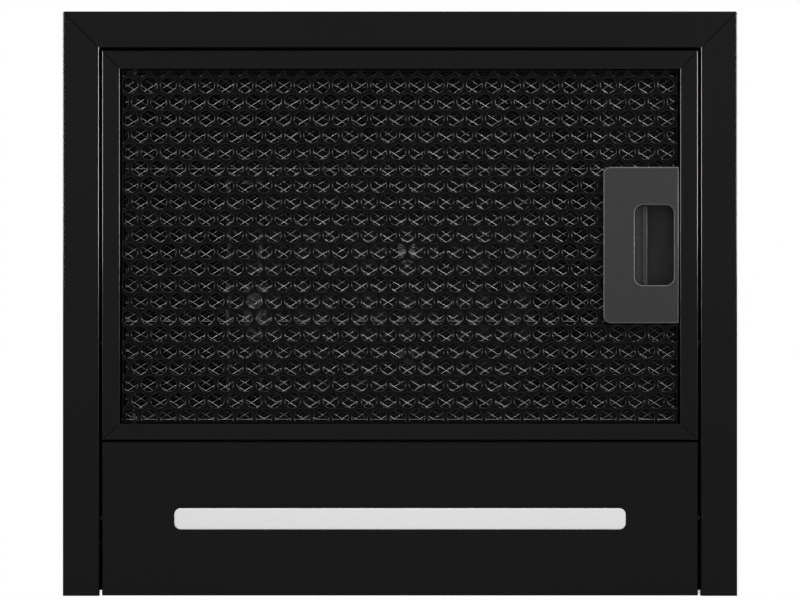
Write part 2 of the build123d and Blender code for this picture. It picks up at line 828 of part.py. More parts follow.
# Latch: a plate with a finger pocket, a sprung slider and its cover
def latch_housing():
    half = latch_height / 2
    plate = block(latch_x0, latch_x1, latch_y - half, latch_y + half, latch_z0, filter_set_back)
    corners = [e for e in plate.edges().filter_by(Axis.Z) if e.center().X < latch_x0 + latch_corner]
    plate = fillet(corners, latch_corner)
    box_y0 = latch_y - latch_box_half
    box_y1 = latch_y + latch_box_half
    body = plate + block(latch_box_x0, latch_x1, box_y0, box_y1, filter_set_back, latch_top)
    body -= block(latch_box_x0 + latch_wall, latch_x1 - latch_wall, box_y0 + latch_wall, box_y1 - latch_wall,
                  filter_set_back, latch_top + latch_wall)
    cup_half = pocket_height / 2
    cup_x0 = pocket_x0 - grip_from_pocket + 2 * slider_clearance
    cup = block(cup_x0, latch_x1 - latch_wall, latch_y - cup_half - cup_wall, latch_y + cup_half + cup_wall,
                filter_set_back, cup_floor + cup_wall)
    cup -= block(cup_x0 - cup_wall, pocket_x1, latch_y - cup_half, latch_y + cup_half,
                 filter_set_back, cup_floor)
    body += cup
    pocket_x = (pocket_x0 + pocket_x1) / 2
    body -= rounded(pocket_width, pocket_height, pocket_corner, pocket_x, latch_y,
                    latch_z0 - latch_wall, filter_set_back)
    slot_half = slider_half + slider_side_clearance
    body -= block(latch_x1 - 2 * latch_wall, latch_x1 + latch_wall, latch_y - slot_half, latch_y + slot_half,
                  slot_z0, latch_top + latch_wall)
    return body


def latch_slider():
    y0 = latch_y - slider_half
    y1 = latch_y + slider_half
    top = slider_z0 + slider_sheet
    grip_z0 = filter_set_back + slider_clearance + grip_rise
    grip_x1 = pocket_x0 + grip_from_pocket + grip_ridge
    slider = block(post_x0, tongue_x1, y0, y1, slider_z0, top)
    slider += block(post_x0, post_x0 + slider_sheet, y0, y1, grip_z0, top)
    slider += block(post_x0, grip_x1, y0, y1, grip_z0, grip_z0 + slider_sheet)
    slider += block(grip_x1 - grip_ridge, grip_x1, y0, y1, grip_z0 - grip_rise, grip_z0 + slider_sheet)
    lug_end = spring_offset + spring_radius
    for side in (-1, 1):
        near = latch_y + side * (slider_half - lug_overlap)
        far = latch_y + side * lug_end
        slider += block(lug_x0, lug_x0 + lug_thickness, min(near, far), max(near, far), slider_z0, top)
        foot = latch_y + side * (spring_offset - spring_radius)
        slider += block(lug_x0, lug_x0 + lug_thickness, min(foot, far), max(foot, far),
                        spring_z - spring_radius, top)
    return slider


def latch_springs():
    springs = []
    for side in (-1, 1):
        y = latch_y + side * spring_offset
        coil = rod("x", spring_radius, spring_x0, lug_x0, y, spring_z)
        springs.append(coil - rod("x", spring_radius - spring_wire, spring_x0, lug_x0, y, spring_z))
    return springs


def latch_cover():
    return block(latch_box_x0, latch_x1, latch_y - latch_box_half, latch_y + latch_box_half,
                 latch_top, latch_top + cover_sheet)


# Blower: two scroll halves round a double inlet impeller on a motor shaft along X
def scroll_outline():
    """The airway seen along X, as (y, z), growing from the tongue round to the outlet."""
    top = deck_height - blower_height
    start = scroll_start_radius
    shift = scroll_tongue_shift
    last = start + scroll_growth
    tongue_x = -outlet_front + blower_y + tongue_radius
    small = start - shift
    rise = math.sqrt((small + tongue_radius) ** 2 - (tongue_x - shift) ** 2)
    angle = math.degrees(math.atan2(rise, tongue_x - shift))
    lines = [
        Line((last * -1, scroll_growth), (last * -1, top)),
        Line((last * -1, top), (tongue_x - tongue_radius, top)),
        Line((tongue_x - tongue_radius, top), (tongue_x - tongue_radius, rise)),
        CenterArc((tongue_x, rise), tongue_radius, 180, angle),
        CenterArc((shift, 0), small, angle, -angle),
        CenterArc((0, 0), start, 0, -90),
        CenterArc((0, scroll_growth), last, -90, -90),
    ]
    return make_face(lines)


def across(outline, x0, x1):
    """Extrude an outline of the airway between two X places, turned the right way about."""
    flat = mirror(outline, about=Plane.YZ)
    placed = Location((x0, blower_y, blower_height)) * (Plane.YZ * flat)
    return extrude(placed, x1 - x0, dir=(1, 0, 0))


def scroll(side):
    inner = scroll_outline()
    outer = offset(inner, amount=scroll_wall, kind=Kind.ARC)
    far = side * (scroll_half + scroll_wall)
    near = side * scroll_half
    shell = across(outer, min(0, far), max(0, far))
    shell -= across(inner, min(0, near), max(0, near))
    shell -= block(-body_width, body_width, -body_depth, body_depth, deck_height, deck_height + body_height)
    shell -= rod("x", inlet_radius, near - side * scroll_wall, far + side * scroll_wall,
                 blower_y, blower_height)
    bell = rod("x", inlet_radius + scroll_wall, near - side * inlet_bell, far, blower_y, blower_height)
    bell -= rod("x", inlet_radius, near - side * 2 * inlet_bell, far + side * scroll_wall,
                blower_y, blower_height)
    shell += bell
    y0 = outlet_front - outlet_flange
    y1 = min(outlet_rear + outlet_flange, panel_inner - hanger_sheet)
    x_far = side * (scroll_half + outlet_flange)
    flange = block(min(0, x_far), max(0, x_far), y0, y1, deck_height - scroll_wall, deck_height)
    flange -= block(-scroll_half, scroll_half, outlet_front, outlet_rear,
                    deck_height - 2 * scroll_wall, deck_height + scroll_wall)
    return shell + flange


def scroll_clips():
    """Spring clips that hold the two halves together, round the lower half of the scroll."""
    clips = []
    for step in range(clip_count):
        angle = -math.radians(clip_start + step * clip_sweep / (clip_count - 1))
        growth = scroll_growth if step * 2 >= clip_count else 0
        radius = scroll_start_radius + growth + scroll_wall
        y = blower_y - radius * math.cos(angle)
        z = blower_height + growth + radius * math.sin(angle)
        place = Location((0, y, z), (math.degrees(math.pi - angle), 0, 0))
        clips.append(place * Pos(0, clip_sheet / 2, 0) * Box(clip_length, clip_sheet, clip_width))
    return clips


def blade_face():
    """One curved blade, seen along X."""
    outer = impeller_radius
    inner = impeller_radius - blade_depth
    half = blade_thickness / 2
    middle = (outer + inner) / 2
    front_side = ThreePointArc((inner, half), (middle, half + blade_bow), (outer, half))
    rear_side = ThreePointArc((outer, -half), (middle, blade_bow - half), (inner, -half))
    ends = [Line((outer, half), (outer, -half)), Line((inner, -half), (inner, half))]
    return make_face([front_side, ends[0], rear_side, ends[1]])


def impeller():
    half = impeller_width / 2
    ring = impeller_radius - ring_width
    wheel = rod("x", impeller_radius, -disc_thickness / 2, disc_thickness / 2, blower_y, blower_height)
    wheel += rod("x", hub_radius, -hub_length / 2, hub_length / 2, blower_y, blower_height)
    wheel -= rod("x", shaft_radius + running_fit, -hub_length, hub_length, blower_y, blower_height)
    parts = []
    for side in (-1, 1):
        near = side * (half - disc_thickness)
        far = side * half
        end_ring = rod("x", impeller_radius, near, far, blower_y, blower_height)
        parts.append(end_ring - rod("x", ring, near - side, far + side, blower_y, blower_height))
    for step in range(blade_count):
        turned = Rot(0, 0, 360 * step / blade_count) * blade_face()
        placed = Location((-half, blower_y, blower_height)) * (Plane.YZ * turned)
        parts.append(extrude(placed, impeller_width, dir=(1, 0, 0)))
    return wheel.fuse(*parts)


def motor_body():
    motor = rod("x", motor_radius, motor_x0, motor_x1, blower_y, blower_height)
    motor = fillet(motor.edges().filter_by(GeomType.CIRCLE), motor_boss_length / 2)
    motor += rod("x", motor_boss, motor_x1, motor_x1 + motor_boss_length, blower_y, blower_height)
    motor -= rod("x", shaft_radius + running_fit, motor_x0 - overcut, motor_x1 + 2 * motor_boss_length,
                 blower_y, blower_height)
    for y, z in arm_points(motor_screw_radius):
        motor -= rod("x", screw_radius + screw_fit, motor_x0 - overcut, motor_x0 + 2 * motor_boss_length, y, z)
    return motor


def motor_shaft():
    tip = hub_length / 2 - screw_fit
    return rod("x", shaft_radius, motor_x0 + motor_boss_length, tip, blower_y, blower_height)


def arm_points(radius):
    """Points (y, z) at a radius, one on each arm of the motor bracket."""
    points = []
    for step in range(arm_count):
        angle = math.radians(90 + 360 * step / arm_count)
        points.append((blower_y + radius * math.cos(angle), blower_height + radius * math.sin(angle)))
    return points


def motor_bracket():
    """A ring on the scroll, three legs away from it, and three arms in to a plate on the motor."""
    outer = bracket_foot_radius + bracket_ring / 2
    plate_x = motor_x0 - bracket_sheet
    ring = rod("x", outer, bracket_seat - bracket_sheet, bracket_seat, blower_y, blower_height)
    ring -= rod("x", outer - bracket_ring, bracket_seat - 2 * bracket_sheet, bracket_seat + bracket_sheet,
                blower_y, blower_height)
    plate = rod("x", motor_radius, plate_x, motor_x0, blower_y, blower_height)
    plate -= rod("x", motor_boss, plate_x - bracket_sheet, motor_x0 + bracket_sheet, blower_y, blower_height)
    bracket = ring + plate
    leg_x0, leg_x1 = sorted((plate_x, bracket_seat))
    for step in range(arm_count):
        arm = block(plate_x, motor_x0, -arm_width / 2, arm_width / 2, arm_root_radius, outer)
        leg = block(leg_x0, leg_x1, -arm_width / 2, arm_width / 2, outer - bracket_sheet, outer)
        bracket += Location((0, blower_y, blower_height), (360 * step / arm_count, 0, 0)) * (arm + leg)
    for y, z in arm_points(motor_screw_radius):
        bracket -= rod("x", screw_radius + screw_fit, plate_x - bracket_sheet, motor_x0 + bracket_sheet, y, z)
    return bracket


def motor_grommets():
    return [rod("x", grommet_radius, bracket_seat, bracket_seat + grommet_height, y, z)
            for y, z in arm_points(bracket_foot_radius)]


def motor_screws():
    seat = motor_x0 - bracket_sheet
    tip = motor_x0 + motor_boss_length
    return [screw("x", seat - screw_head, seat, tip, y, z) for y, z in arm_points(motor_screw_radius)]


def inlet_guard():
    x0 = scroll_half + scroll_wall
    x1 = x0 + guard_sheet
    radius = inlet_radius + scroll_wall + guard_ring
    guard = rod("x", radius, x0, x1, blower_y, blower_height)
    guard -= rod("x", radius - 2 * guard_ring, x0 - overcut, x1 + overcut, blower_y, blower_height)
    for step in range(1, guard_rings):
        outer = radius * step / guard_rings
        ring = rod("x", outer, x0, x1, blower_y, blower_height)
        guard += ring - rod("x", outer - guard_ring, x0 - overcut, x1 + overcut, blower_y, blower_height)
    long_bar = 2 * radius - guard_ring
    bars = Box(guard_sheet, guard_bar, long_bar) + Box(guard_sheet, long_bar, guard_bar)
    return guard + Location(((x0 + x1) / 2, blower_y, blower_height), (guard_turn, 0, 0)) * bars


# Outlet collar with two flaps that close by their own weight
def outlet_collar():
    inner = collar_radius - collar_wall
    reach = collar_radius + collar_flange
    y1 = min(collar_y + reach, panel_inner - screw_fit)
    collar = block(-reach, reach, collar_y - reach, y1, deck_top, deck_top + collar_sheet)
    collar += rod("z", collar_radius, deck_top, deck_top + collar_height, 0, collar_y)
    collar -= rod("z", inner, deck_top - collar_sheet, deck_top + 2 * collar_height, 0, collar_y)
    stop = rod("z", inner, deck_top + stop_rise, deck_top + stop_rise + stop_height, 0, collar_y)
    stop -= rod("z", inner - stop_width, deck_top, deck_top + collar_height, 0, collar_y)
    collar += stop
    collar -= rod("x", rod_radius + rod_fit, -collar_radius - overcut, collar_radius + overcut,
                  collar_y, flap_z)
    for x, y in collar_screw_places():
        collar -= rod("z", screw_radius + screw_fit, deck_top - overcut, deck_top + 2 * collar_sheet, x, y)
    return collar


def collar_screw_places():
    """Corners of the collar's flange."""
    offset_x = collar_radius + collar_flange / 2
    y0 = collar_y - offset_x
    y1 = min(collar_y + offset_x, panel_inner - 2 * screw_head_radius)
    return [(x, y) for x in (-offset_x, offset_x) for y in (y0, y1)]


def collar_screws():
    seat = deck_top + collar_sheet
    return [screw("z", seat + screw_head, seat, deck_top, x, y) for x, y in collar_screw_places()]


def damper_pin():
    return rod("x", rod_radius, -collar_radius, collar_radius, collar_y, flap_z)


def damper_flap(side):
    """One half disc on the damper rod: side -1 lies towards the front, +1 towards the wall."""
    radius = collar_radius - collar_wall - flap_gap
    z0 = flap_z - flap_thickness / 2
    z1 = flap_z + flap_thickness / 2
    flap = rod("z", radius, z0, z1, 0, collar_y)
    near = collar_y + side * flap_start
    far = collar_y - side * 2 * radius
    flap -= block(-2 * radius, 2 * radius, min(near, far), max(near, far), z0 - overcut, z1 + overcut)
    pitch = 2 * knuckle_length
    for step in (-1, 0, 1):
        middle = step * pitch + side * knuckle_length / 2
        x0 = middle - knuckle_length / 2 + knuckle_gap / 2
        x1 = middle + knuckle_length / 2 - knuckle_gap / 2
        flap += rod("x", knuckle_radius, x0, x1, collar_y, flap_z)
        edge = collar_y + side * (flap_start + flap_web)
        flap += block(x0, x1, min(collar_y, edge), max(collar_y, edge), z0, z1)
    flap -= rod("x", rod_radius + rod_fit, -2 * radius, 2 * radius, collar_y, flap_z)
    return flap


# Electronics on the deck
def electronics_box():
    box = block(box_x0, box_x1, box_y0, box_y1, deck_top, box_top)
    box -= block(box_x0 + box_wall, box_x1 - box_wall, box_y0 + box_wall, box_y1 - box_wall,
                 deck_top + box_wall, box_top + overcut)
    inset = box_wall + board_post
    for x in (box_x0 + inset, box_x1 - inset):
        for y in (box_y0 + inset, box_y1 - inset):
            box += rod("z", board_post, deck_top + box_wall, deck_top + board_rise, x, y)
    return box


def electronics_lid():
    inset = box_wall + lid_fit
    lid = block(box_x0, box_x1, box_y0, box_y1, box_top, box_top + lid_sheet)
    lip = block(box_x0 + inset, box_x1 - inset, box_y0 + inset, box_y1 - inset, box_top - lid_lip, box_top)
    inset += lid_sheet
    lip -= block(box_x0 + inset, box_x1 - inset, box_y0 + inset, box_y1 - inset, box_top - 2 * lid_lip, box_top)
    return lid + lip - rod("z", gland_thread_radius, box_top - lid_lip, box_top + 2 * lid_sheet, gland_x, box_mid_y)


def control_board():
    inset = box_wall + 2 * lid_fit
    return block(box_x0 + inset, box_x1 - inset, box_y0 + inset, box_y1 - inset,
                 deck_top + board_rise, board_top)


def terminal_block():
    x1 = box_x1 - 2 * box_wall
    y0 = box_mid_y - terminal_length / 2
    terminal = block(x1 - terminal_width, x1, y0, y0 + terminal_length, board_top, board_top + terminal_height)
    for step in range(terminal_count):
        y = y0 + terminal_length * (step + 0.5) / terminal_count
        terminal -= rod("z", screw_radius, board_top + terminal_height / 2, board_top + 2 * terminal_height,
                        x1 - terminal_width / 2, y)
    return terminal


def capacitor():
    x = box_x0 + 2 * box_wall + capacitor_radius
    half = capacitor_length / 2
    can = rod("y", capacitor_radius, box_mid_y - half, box_mid_y + half, x, board_top + capacitor_radius)
    return fillet(can.edges().filter_by(GeomType.CIRCLE), screw_head)


def cable_gland():
    lid_top = box_top + lid_sheet
    nut_z0 = box_top - gland_nut
    gland = rod("z", gland_radius, lid_top, lid_top + gland_reach, gland_x, box_mid_y)
    gland = fillet(gland.edges().filter_by(GeomType.CIRCLE).sort_by(Axis.Z)[-1], gland_nut)
    gland += rod("z", gland_thread_radius - screw_fit, nut_z0, lid_top, gland_x, box_mid_y)
    gland += rod("z", gland_radius, nut_z0, box_top, gland_x, box_mid_y)
    return gland - rod("z", gland_bore, nut_z0 - gland_reach, lid_top + 2 * gland_reach, gland_x, box_mid_y)


# Controls: a flush bezel, push buttons, and switches on a board behind them
def button_x(step):
    """X of a button."""
    return (step - (button_count - 1) / 2) * button_pitch


def control_bezel():
    bezel = stadium(bezel_length, bezel_height, front, bezel_back)
    bezel += stadium(bezel_length + 2 * bezel_flange, bezel_height + 2 * bezel_flange,
                     front + sheet, bezel_back)
    for step in range(button_count):
        bezel -= rod("y", button_radius + button_gap, front - overcut, bezel_back + overcut,
                     button_x(step), control_height)
    for side in (-1, 1):
        x = side * (bezel_length / 2 - bezel_post_radius)
        bezel += rod("y", bezel_post_radius, bezel_back, switch_board_y, x, control_height)
    return bezel


def button(step):
    x = button_x(step)
    back = bezel_back + button_gap
    cap = rod("y", button_radius, front, front + button_length, x, control_height)
    rim = cap.edges().filter_by(GeomType.CIRCLE).sort_by(Axis.Y)[0]
    cap = fillet(rim, button_gap)
    cap += rod("y", button_radius + button_flange, back, back + button_flange_thickness, x, control_height)
    stem_end = front + button_length + stem_length
    return cap + rod("y", stem_radius, front + button_length, stem_end, x, control_height)


def switch_board():
    half_x = bezel_length / 2
    half_z = bezel_height / 2
    return block(-half_x, half_x, switch_board_y, switch_board_y + board_thickness,
                 control_height - half_z, control_height + half_z)


def micro_switches():
    switches = []
    half = switch_size / 2
    y0 = switch_board_y - switch_height
    for step in range(button_count):
        x = button_x(step)
        body = block(x - half, x + half, y0, switch_board_y, control_height - half, control_height + half)
        switches.append(body - rod("y", stem_radius + switch_fit, y0 - overcut,
                                   switch_board_y - board_thickness, x, control_height))
    return switches


# Chimney sleeve: slides up out of the body, and its bracket meets the wall
def chimney_sleeve():
    sleeve = block(-sleeve_x, sleeve_x, sleeve_front, sleeve_rear, sleeve_z0, sleeve_z1)
    uprights = [e for e in sleeve.edges().filter_by(Axis.Z) if e.center().Y < 0]
    sleeve = fillet(uprights, corner_radius)
    inner = sleeve_x - sleeve_sheet
    sleeve -= block(-inner, inner, sleeve_front + sleeve_sheet, sleeve_rear - sleeve_sheet,
                    sleeve_z0 - overcut, sleeve_z1 + overcut)
    opening = sleeve_x - sleeve_return
    sleeve -= block(-opening, opening, 0, rear, sleeve_z0 - overcut, sleeve_z1 + overcut)
    for side in (-1, 1):
        sleeve -= rod("x", screw_radius + screw_fit, side * (inner - sleeve_sheet),
                      side * (sleeve_x + sleeve_sheet), sleeve_screw_y, sleeve_screw_z)
    return sleeve


def sleeve_bracket():
    """A bar on the wall with a tab at each end, bent round behind the sleeve's return."""
    inner = sleeve_x - sleeve_sheet
    top = sleeve_z1 - bracket_from_top
    low = top - bracket_height
    reach = sleeve_x - sleeve_return - bracket_side_gap
    cross_y = sleeve_rear - sleeve_sheet - sleeve_rear_gap
    bracket = block(-reach, reach, rear - bracket_plate, rear, low, top)
    for side in (-1, 1):
        tab = sorted((side * (inner - bracket_plate), side * inner))
        bracket += block(*tab, panel_inner - sleeve_return - bracket_tab, cross_y, low, top)
        bridge = sorted((side * (reach - bracket_plate), side * reach))
        bracket += block(*bridge, cross_y - bracket_plate, rear, low, top)
        link = sorted((side * (reach - bracket_plate), side * inner))
        bracket += block(*link, cross_y - bracket_plate, cross_y, low, top)
        bracket -= rod("x", screw_radius + screw_fit, side * (inner - 2 * bracket_plate),
                       side * (inner + sleeve_sheet), sleeve_screw_y, sleeve_screw_z)
        bracket -= rod("y", hanger_hole, rear - 2 * bracket_plate, rear + overcut,
                       side * bracket_hole_spacing / 2, (low + top) / 2)
    return bracket


def sleeve_screws():
    head = sleeve_x + screw_head
    tip = sleeve_x - sleeve_sheet - bracket_plate - screw_through
    return [screw("x", side * head, side * sleeve_x, side * tip, sleeve_screw_y, sleeve_screw_z)
            for side in (-1, 1)]


save("body_shell", body_shell())
save("rear_panel", rear_panel())
save("shell_screws", *shell_screws())
save("hanger_plates", *hanger_plates())
save("deck_plate", deck_plate())
save("deck_screws", *deck_screws())
save("filter_frame", filter_frame())
save("frame_screws", *frame_screws())
save("light_panel", light_panel())
save("light_lens", light_lens())
save("light_housing", light_housing())
save("light_screws", *light_screws())
save("led_board", led_board())
save("led_chips", *led_chips())
save("filter_face", filter_face())
for index, name in enumerate(("lower", "middle", "upper")):
    save(f"filter_mesh_{name}", filter_net(index))
save("filter_back", filter_back())
save("filter_rim", filter_rim())
save("rim_rivets", *rim_rivets())
save("pivot_pins", *pivot_pins())
save("latch_housing", latch_housing())
save("latch_slider", latch_slider())
save("latch_springs", *latch_springs())
save("latch_cover", latch_cover())
save("scroll_left", scroll(-1))
save("scroll_right", scroll(1))
save("scroll_clips", *scroll_clips())
save("impeller", impeller())
save("motor_shaft", motor_shaft())
save("motor_body", motor_body())
save("motor_bracket", motor_bracket())
save("motor_grommets", *motor_grommets())
save("motor_screws", *motor_screws())
save("inlet_guard", inlet_guard())
save("outlet_collar", outlet_collar())
save("collar_screws", *collar_screws())
save("damper_pin", damper_pin())
save("damper_flap_front", damper_flap(-1))
save("damper_flap_rear", damper_flap(1))
save("electronics_box", electronics_box())
save("electronics_lid", electronics_lid())
save("control_board", control_board())
save("terminal_block", terminal_block())
save("capacitor", capacitor())
save("cable_gland", cable_gland())
save("control_bezel", control_bezel())
for step, name in enumerate(("off", "low", "medium", "high", "light")):
    save(f"button_{name}", button(step))
save("switch_board", switch_board())
save("micro_switches", *micro_switches())
save("chimney_sleeve", chimney_sleeve())
save("sleeve_bracket", sleeve_bracket())
save("sleeve_screws", *sleeve_screws())
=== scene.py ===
import json
import math

import bmesh
import bpy
from mathutils import Matrix, Vector

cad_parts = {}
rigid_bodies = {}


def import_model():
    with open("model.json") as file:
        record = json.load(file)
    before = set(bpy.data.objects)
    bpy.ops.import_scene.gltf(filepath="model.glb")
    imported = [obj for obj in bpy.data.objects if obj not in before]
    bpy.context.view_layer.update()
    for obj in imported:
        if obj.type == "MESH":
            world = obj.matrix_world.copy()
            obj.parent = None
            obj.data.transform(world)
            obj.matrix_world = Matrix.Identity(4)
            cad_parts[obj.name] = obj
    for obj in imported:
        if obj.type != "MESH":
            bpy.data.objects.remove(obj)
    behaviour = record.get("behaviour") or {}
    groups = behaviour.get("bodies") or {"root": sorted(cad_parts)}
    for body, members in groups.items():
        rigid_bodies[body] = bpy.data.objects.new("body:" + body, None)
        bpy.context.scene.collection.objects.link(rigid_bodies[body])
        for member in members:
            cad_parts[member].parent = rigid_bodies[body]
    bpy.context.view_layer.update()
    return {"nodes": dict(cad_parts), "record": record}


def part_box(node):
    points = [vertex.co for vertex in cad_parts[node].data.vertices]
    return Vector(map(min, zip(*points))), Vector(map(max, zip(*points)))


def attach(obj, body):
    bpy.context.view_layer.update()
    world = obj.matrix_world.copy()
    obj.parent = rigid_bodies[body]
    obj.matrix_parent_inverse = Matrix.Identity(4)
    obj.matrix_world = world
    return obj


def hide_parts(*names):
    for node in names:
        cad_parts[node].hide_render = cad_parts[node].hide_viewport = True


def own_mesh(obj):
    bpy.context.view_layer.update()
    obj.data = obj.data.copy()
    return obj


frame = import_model()

bl_info = {
    "name": "Square tower hood",
    "version": (1, 0, 0),
    "blender": (4, 5, 0),
    "location": "3D View > Sidebar > Hood",
    "description": "Finishes and fine pieces of a square tower hood",
    "category": "Object",
}

MM = 0.001

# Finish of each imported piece, by its material slot
SLOT_OF = {part["node"]: part["material_slot"] for part in frame["record"]["subparts"]}

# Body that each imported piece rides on
BODY_OF = {node: body
           for body, nodes in frame["record"]["behaviour"]["bodies"].items()
           for node in nodes}


def size(name, default, description, low=0.0):
    """A length in metres that the user may change."""
    return bpy.props.FloatProperty(name=name, description=description, default=default, min=low,
                                   unit="LENGTH", precision=5)


def tint(name, default, description):
    """A linear colour that the user may change."""
    return bpy.props.FloatVectorProperty(name=name, description=description, default=default, size=3,
                                         min=0.0, max=1.0, subtype="COLOR")


class HoodFilterSizes(bpy.types.PropertyGroup):
    """Sizes of the grease filter's perforated face and nets."""
    hole_pitch: size("Hole pitch", 10 * MM, "Distance between hole centres in a row")
    hole_radius: size("Hole radius", 4 * MM, "Radius of the round holes")
    hole_roll: size("Hole roll", 0.5 * MM, "Width of the rolled edge round each hole")
    hole_x: size("First hole X", 3.9 * MM, "Place of one hole, across")
    hole_y: size("First hole Y", -18.8 * MM, "Place of one hole, front to back", low=-1.0)
    sheet: size("Sheet", 0.8 * MM, "Thickness of the perforated sheet")
    fold_band: size("Fold band", 0.9 * MM, "Plain strip beside the rear fold, where the holes stop")
    # How far the rolled hole edges take the brighter metal of the painted sheen, which strengthens the lamps'
    # highlights there.
    rim_sheen: bpy.props.FloatProperty(name="Wear", description="How far the rolled edges are rubbed bright",
                                  default=1.0, min=0.0, max=1.0, subtype="FACTOR")
    net_long: size("Net mesh, long way", 6.8 * MM, "Long diagonal of the net's diamonds")
    net_short: size("Net mesh, short way", 4.2 * MM, "Short diagonal of the net's diamonds")
    strand: size("Strand", 0.36 * MM, "Width of the net's strands")
    ridge: size("Ridge", 0.12 * MM, "Height of the ridge along each strand")


class HoodEdgeSizes(bpy.types.PropertyGroup):
    """Rounding of the moulded and turned pieces' edges, and the springs' wire."""
    latch: size("Latch", 0.6 * MM, "Edge radius of the latch plate and its pocket")
    grip: size("Grip", 0.3 * MM, "Edge radius of the sliding grip")
    lens: size("Lens", 0.5 * MM, "Edge radius of the light lens")
    bezel: size("Bezel", 0.5 * MM, "Edge radius of the control bezel")
    button: size("Button", 0.5 * MM, "Edge radius of the push buttons")
    spring_wire: size("Spring wire", 0.6 * MM, "Thickness of the latch springs' wire")


class HoodColours(bpy.types.PropertyGroup):
    """Colours of the finishes."""
    coat: tint("Powder coat", (0.0017, 0.0017, 0.0018), "Black powder coat of the body")
    filter_paint: tint("Filter paint", (0.0012, 0.0012, 0.0013), "Black paint of the grease filter")
    latch: tint("Latch plastic", (0.016, 0.016, 0.0166), "Spark textured plastic")
    # Painted highlight: bright metal on the strand facets that face one way, towards the lamps, while the
    # other facets stay black.
    net: tint("Net edges", (0.17, 0.17, 0.173), "Bare slit edges of the expanded aluminium")
    # Painted sheen: a brighter metal on every rolled hole edge, which strengthens the lamps' highlights
    # there.
    painted_sheen: tint("Worn edges", (0.022, 0.022, 0.022), "Paint rubbed bright on the rolled hole edges")
    opal: tint("Lens", (0.7, 0.7, 0.7), "Opal light lens")


class HoodStageSizes(bpy.types.PropertyGroup):
    """Camera, soft world light and floor."""
    lens: bpy.props.FloatProperty(name="Lens", description="Focal length in millimetres", default=140.0)
    distance: size("Camera distance", 1622.8 * MM, "From the underside to the camera")
    camera_y: size("Camera Y", -1.86 * MM, "Camera's place, front to back", low=-1.0)
    floor_drop: size("Floor drop", 1900 * MM, "From the underside to the floor")
    floor_size: size("Floor size", 30.0, "Size of the floor's grid")
    soft_light: bpy.props.FloatProperty(name="Soft light", description="Strength of the world on the object",
                                        default=0.75)


# Node groups that several finishes share
def new_group(name, inputs, outputs):
    """An empty shader node group with named sockets, each given as (name, kind, default)."""
    group = bpy.data.node_groups.new(name, "ShaderNodeTree")
    for socket_name, kind, default in inputs:
        socket = group.interface.new_socket(name=socket_name, in_out="INPUT", socket_type=kind)
        if default is not None:
            socket.default_value = default
    for socket_name, kind in outputs:
        group.interface.new_socket(name=socket_name, in_out="OUTPUT", socket_type=kind)
    return group, group.nodes.new("NodeGroupInput"), group.nodes.new("NodeGroupOutput")


def grain_group():
    """Fine grain: a height for bump and a slow mask that varies tone and gloss."""
    group, source, sink = new_group(
        "surface_grain",
        [("Vector", "NodeSocketVector", None), ("Fine Scale", "NodeSocketFloat", 1800.0),
         ("Slow Scale", "NodeSocketFloat", 9.0)],
        [("Height", "NodeSocketFloat"), ("Mask", "NodeSocketFloat")])
    fine = group.nodes.new("ShaderNodeTexNoise")
    fine.inputs["Detail"].default_value = 2.0
    slow = group.nodes.new("ShaderNodeTexNoise")
    slow.inputs["Detail"].default_value = 3.0
    group.links.new(source.outputs["Vector"], fine.inputs["Vector"])
    group.links.new(source.outputs["Vector"], slow.inputs["Vector"])
    group.links.new(source.outputs["Fine Scale"], fine.inputs["Scale"])
    group.links.new(source.outputs["Slow Scale"], slow.inputs["Scale"])
    group.links.new(fine.outputs["Fac"], sink.inputs["Height"])
    group.links.new(slow.outputs["Fac"], sink.inputs["Mask"])
    return group


def spangle_group():
    """Crystals of a zinc coat: a tone for each crystal, and a faint height."""
    group, source, sink = new_group(
        "zinc_spangle",
        [("Vector", "NodeSocketVector", None), ("Scale", "NodeSocketFloat", 110.0)],
        [("Tone", "NodeSocketFloat"), ("Height", "NodeSocketFloat")])
    cells = group.nodes.new("ShaderNodeTexVoronoi")
    split = group.nodes.new("ShaderNodeSeparateColor")
    group.links.new(source.outputs["Vector"], cells.inputs["Vector"])
    group.links.new(source.outputs["Scale"], cells.inputs["Scale"])
    group.links.new(cells.outputs["Color"], split.inputs["Color"])
    group.links.new(split.outputs["Red"], sink.inputs["Tone"])
    group.links.new(cells.outputs["Distance"], sink.inputs["Height"])
    return group


def ramp(tree, factor, low, high):
    """A colour that runs from low to high with a factor."""
    node = tree.nodes.new("ShaderNodeMix")
    node.data_type = "RGBA"
    tree.links.new(factor, node.inputs["Factor"])
    node.inputs["A"].default_value = (*low, 1)
    node.inputs["B"].default_value = (*high, 1)
    return node.outputs["Result"]


def span(tree, factor, low, high):
    """A value that runs from low to high with a factor."""
    node = tree.nodes.new("ShaderNodeMapRange")
    tree.links.new(factor, node.inputs["Value"])
    node.inputs["To Min"].default_value = low
    node.inputs["To Max"].default_value = high
    return node.outputs["Result"]


def scaled(colour, factor):
    """A colour made lighter or darker."""
    return tuple(min(1.0, channel * factor) for channel in colour)


def shader_base(name, metallic, specular):
    """A new material with its shader and its object coordinates."""
    material = bpy.data.materials.new(name)
    material.use_nodes = True
    tree = material.node_tree
    shader = tree.nodes["Principled BSDF"]
    shader.inputs["Metallic"].default_value = metallic
    shader.inputs["Specular IOR Level"].default_value = specular
    place = tree.nodes.new("ShaderNodeTexCoord").outputs["Object"]
    return material, tree, shader, place


def bump(tree, shader, height, strength, distance):
    """Feeds the shader's normal from a height."""
    node = tree.nodes.new("ShaderNodeBump")
    node.inputs["Strength"].default_value = strength
    node.inputs["Distance"].default_value = distance
    tree.links.new(height, node.inputs["Height"])
    tree.links.new(node.outputs["Normal"], shader.inputs["Normal"])


